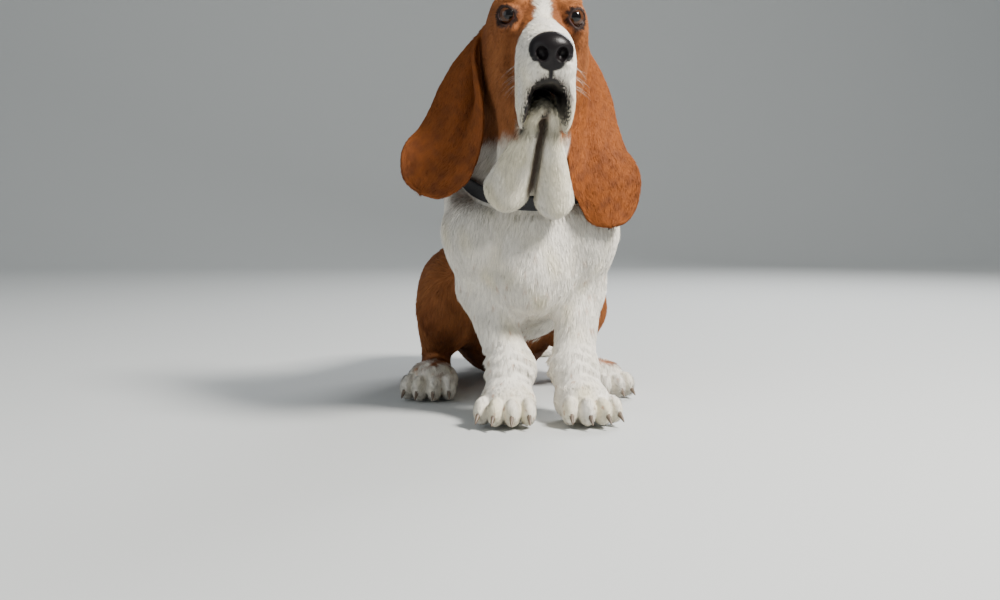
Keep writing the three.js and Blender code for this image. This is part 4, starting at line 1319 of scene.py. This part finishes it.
def grow_whiskers():
    rng = np.random.default_rng(SEED + 1)
    points, faces = [], []
    across, ahead, up = WHISKERS_FROM
    places = [(s, r, i) for s in (-1, 1) for r in range(WHISKER_ROWS) for i in range(WHISKERS_A_ROW)]
    for s, row, i in places:
        y = ahead + WHISKER_GAP * i + rng.uniform(-2, 2)
        z = up - WHISKER_ROW_GAP * row + rng.uniform(-2, 2)
        place = np.array([(s * across, y, z)], F)
        for _ in range(12):
            place[:, 0] -= s * head_local(place)
        way = [s * rng.uniform(0.8, 1.1), rng.uniform(-0.1, 0.7), rng.uniform(-0.75, -0.2)]
        long = rng.uniform(12, 24)
        out = (unit(np.array([way])) @ HEAD_MATRIX.T)[0]
        more, ring = bristle(from_head(place)[0], out, rng.uniform(2, 8), long)
        faces.append(ring + len(points) * len(more))
        points.append(more)
    piece = new_mesh("whiskers", to_scene(np.vstack(points)), np.vstack(faces))
    dress(piece, whisker_material())


grow_whiskers()

# Claws

CLAW_LENGTH = 19
CLAW_RADIUS = 4
CLAW_ROOT = 10
CLAW_RISE = 4
CLAW_PITCH = 24
CLAW_CURVE = 4
CLAW_TIP_RADIUS = 0.35
CLAW_RINGS = 12
CLAW_SIDES = 14

claw_steps = np.linspace(0, 1, CLAW_RINGS)
claw_line = np.outer(claw_steps, (0, -CLAW_LENGTH, 0)) - np.outer(claw_steps**2, (0, 0, CLAW_CURVE))
claw_line += (0, -CLAW_ROOT, 0)
claw_radii = CLAW_RADIUS * (1 - claw_steps) ** 0.62 + CLAW_TIP_RADIUS
claw_ends = (claw_line[0], claw_line[-1] + (0, -0.3, 0))
claw_points, claw_faces = turned(claw_line, claw_radii, (0.8, 0, 0), (0, 0, 1), claw_ends, CLAW_SIDES)
claw_finish = claw_material()
feet = {
    "foreleg_left": (FORE["left"]["foot"], 1),
    "foreleg_right": (FORE["right"]["foot"], -1),
    "hindleg_left": (HIND_FOOT, 1),
    "hindleg_right": (mirror(HIND_FOOT, -1), -1),
}
for name, (foot, side) in feet.items():
    for i, (toe, across) in enumerate(zip(toe_places(foot, side), TOE_ACROSS)):
        turn = turn_matrix((CLAW_PITCH, 0, side * FOOT_TURN + across * 0.5))
        at = np.array(toe) + np.array((0, 0, CLAW_RISE))
        piece = new_mesh(f"horn_{name}_{i + 1}", to_scene(claw_points @ turn.T + at), claw_faces)
        dress(piece, claw_finish)
        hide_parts(f"claw_{name}_{i + 1}")

# Collar

COLLAR_STEPS = 240


def neck_reach(directions):
    """How far the neck reaches from the strap's middle, found by halving."""
    low, high = np.full(len(directions), 10.0), np.full(len(directions), 140.0)
    for _ in range(24):
        far = (low + high) / 2
        place = (directions * far[:, None]) @ COLLAR_TURN.T + COLLAR_AT
        inside = trunk_and_neck(place.astype(F)) < 0
        low, high = np.where(inside, far, low), np.where(inside, high, far)
    return low


def collar_strap():
    """A strap with a raised line near each edge, as points and four-sided faces."""
    angle = np.linspace(0, 2 * math.pi, COLLAR_STEPS, endpoint=False)
    direction = np.stack([np.sin(angle), -np.cos(angle), 0 * angle], 1)
    reach = neck_reach(direction)
    edge = COLLAR_WIDTH / 2
    inner, outer = COLLAR_LIFT, COLLAR_LIFT + COLLAR_THICKNESS
    section = [
        (inner, 0.6 - edge), (inner + 0.6, -edge), (outer - 0.7, -edge),
        (outer, 0.8 - edge), (outer + 0.15, 2.4 - edge), (outer - 0.1, 3.0 - edge),
    ]
    section += [(more, -up) for more, up in reversed(section)]
    points = []
    for more, up in section:
        place = direction * (reach + more)[:, None] + np.array((0, 0, up))
        points.append(place @ COLLAR_TURN.T + COLLAR_AT)
    points = np.stack(points, 1).reshape(-1, 3)
    number = np.arange(len(points)).reshape(COLLAR_STEPS, -1)
    ahead = np.roll(number, -1, 0)
    corners = (ahead, np.roll(ahead, -1, 1), np.roll(number, -1, 1), number)
    return points, np.stack(corners, -1).reshape(-1, 4)


points, quads = collar_strap()
strap = new_mesh("strap", to_scene(points), quads)
dress(strap, strap_material())
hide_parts("collar_band")
steel = metal_material()
for name in ("collar_buckle", "collar_ring"):
    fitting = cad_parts[name]
    fitting.data.materials.clear()
    fitting.data.materials.append(steel)

# Floor: one pale sheet that runs back, then sweeps up behind the hound

SHEET_FRONT = -7.0
SHEET_BEND = 3.4
SHEET_RADIUS = 2.2
SHEET_TOP = 7.0
SHEET_HALF = 12.0
SHEET_STEPS = 24

sweep = [(SHEET_FRONT, 0.0), (SHEET_BEND, 0.0)]
for i in range(1, SHEET_STEPS + 1):
    angle = math.pi / 2 * i / SHEET_STEPS
    sweep.append((SHEET_BEND + SHEET_RADIUS * math.sin(angle), SHEET_RADIUS * (1 - math.cos(angle))))
sweep.append((SHEET_BEND + SHEET_RADIUS, SHEET_TOP))
points = np.array([(x, y, z) for y, z in sweep for x in (-SHEET_HALF, SHEET_HALF)])
quads = np.array([(2 * i, 2 * i + 1, 2 * i + 3, 2 * i + 2) for i in range(len(sweep) - 1)])
floor = new_mesh("floor", points, quads)
floor.data.polygons.foreach_set("use_smooth", np.ones(len(quads), bool))
floor.data.materials.append(floor_material())

# Light and camera


def area_light(name, place, aim, size, power, colour=(1, 1, 1)):
    light = bpy.data.lights.new(name, "AREA")
    light.size = size
    light.energy = power
    light.color = colour
    lamp = bpy.data.objects.new(name, light)
    bpy.context.scene.collection.objects.link(lamp)
    lamp.location = place
    lamp.rotation_euler = (Vector(aim) - Vector(place)).to_track_quat("-Z", "Y").to_euler()


area_light("key", (1.5, -1.6, 2.2), (0, -0.1, 0.35), 0.6, 210, (1, 0.96, 0.90))
area_light("fill", (-2.4, -1.8, 1.0), (0, 0, 0.3), 2.4, 26, (0.96, 0.98, 1))
area_light("back", (1.4, 2.0, 1.9), (0, 0, 0.35), 1.2, 70)

world = bpy.data.worlds.new("studio")
world.use_nodes = True
sky = world.node_tree.nodes["Background"]
sky.inputs["Color"].default_value = (0.80, 0.86, 0.90, 1)
sky.inputs["Strength"].default_value = 0.34
bpy.context.scene.world = world

CAMERA_AT = (-160.4, -1411.5, 253)
CAMERA_YAW = 5
CAMERA_PITCH = 4.57
camera_data = bpy.data.cameras.new("camera")
camera_data.sensor_width = 36
camera_data.lens = 45
camera = bpy.data.objects.new("camera", camera_data)
bpy.context.scene.collection.objects.link(camera)
camera.location = to_scene(CAMERA_AT)
camera.rotation_euler = Euler((math.radians(90 - CAMERA_PITCH), 0, math.radians(-CAMERA_YAW)))
bpy.context.scene.camera = camera
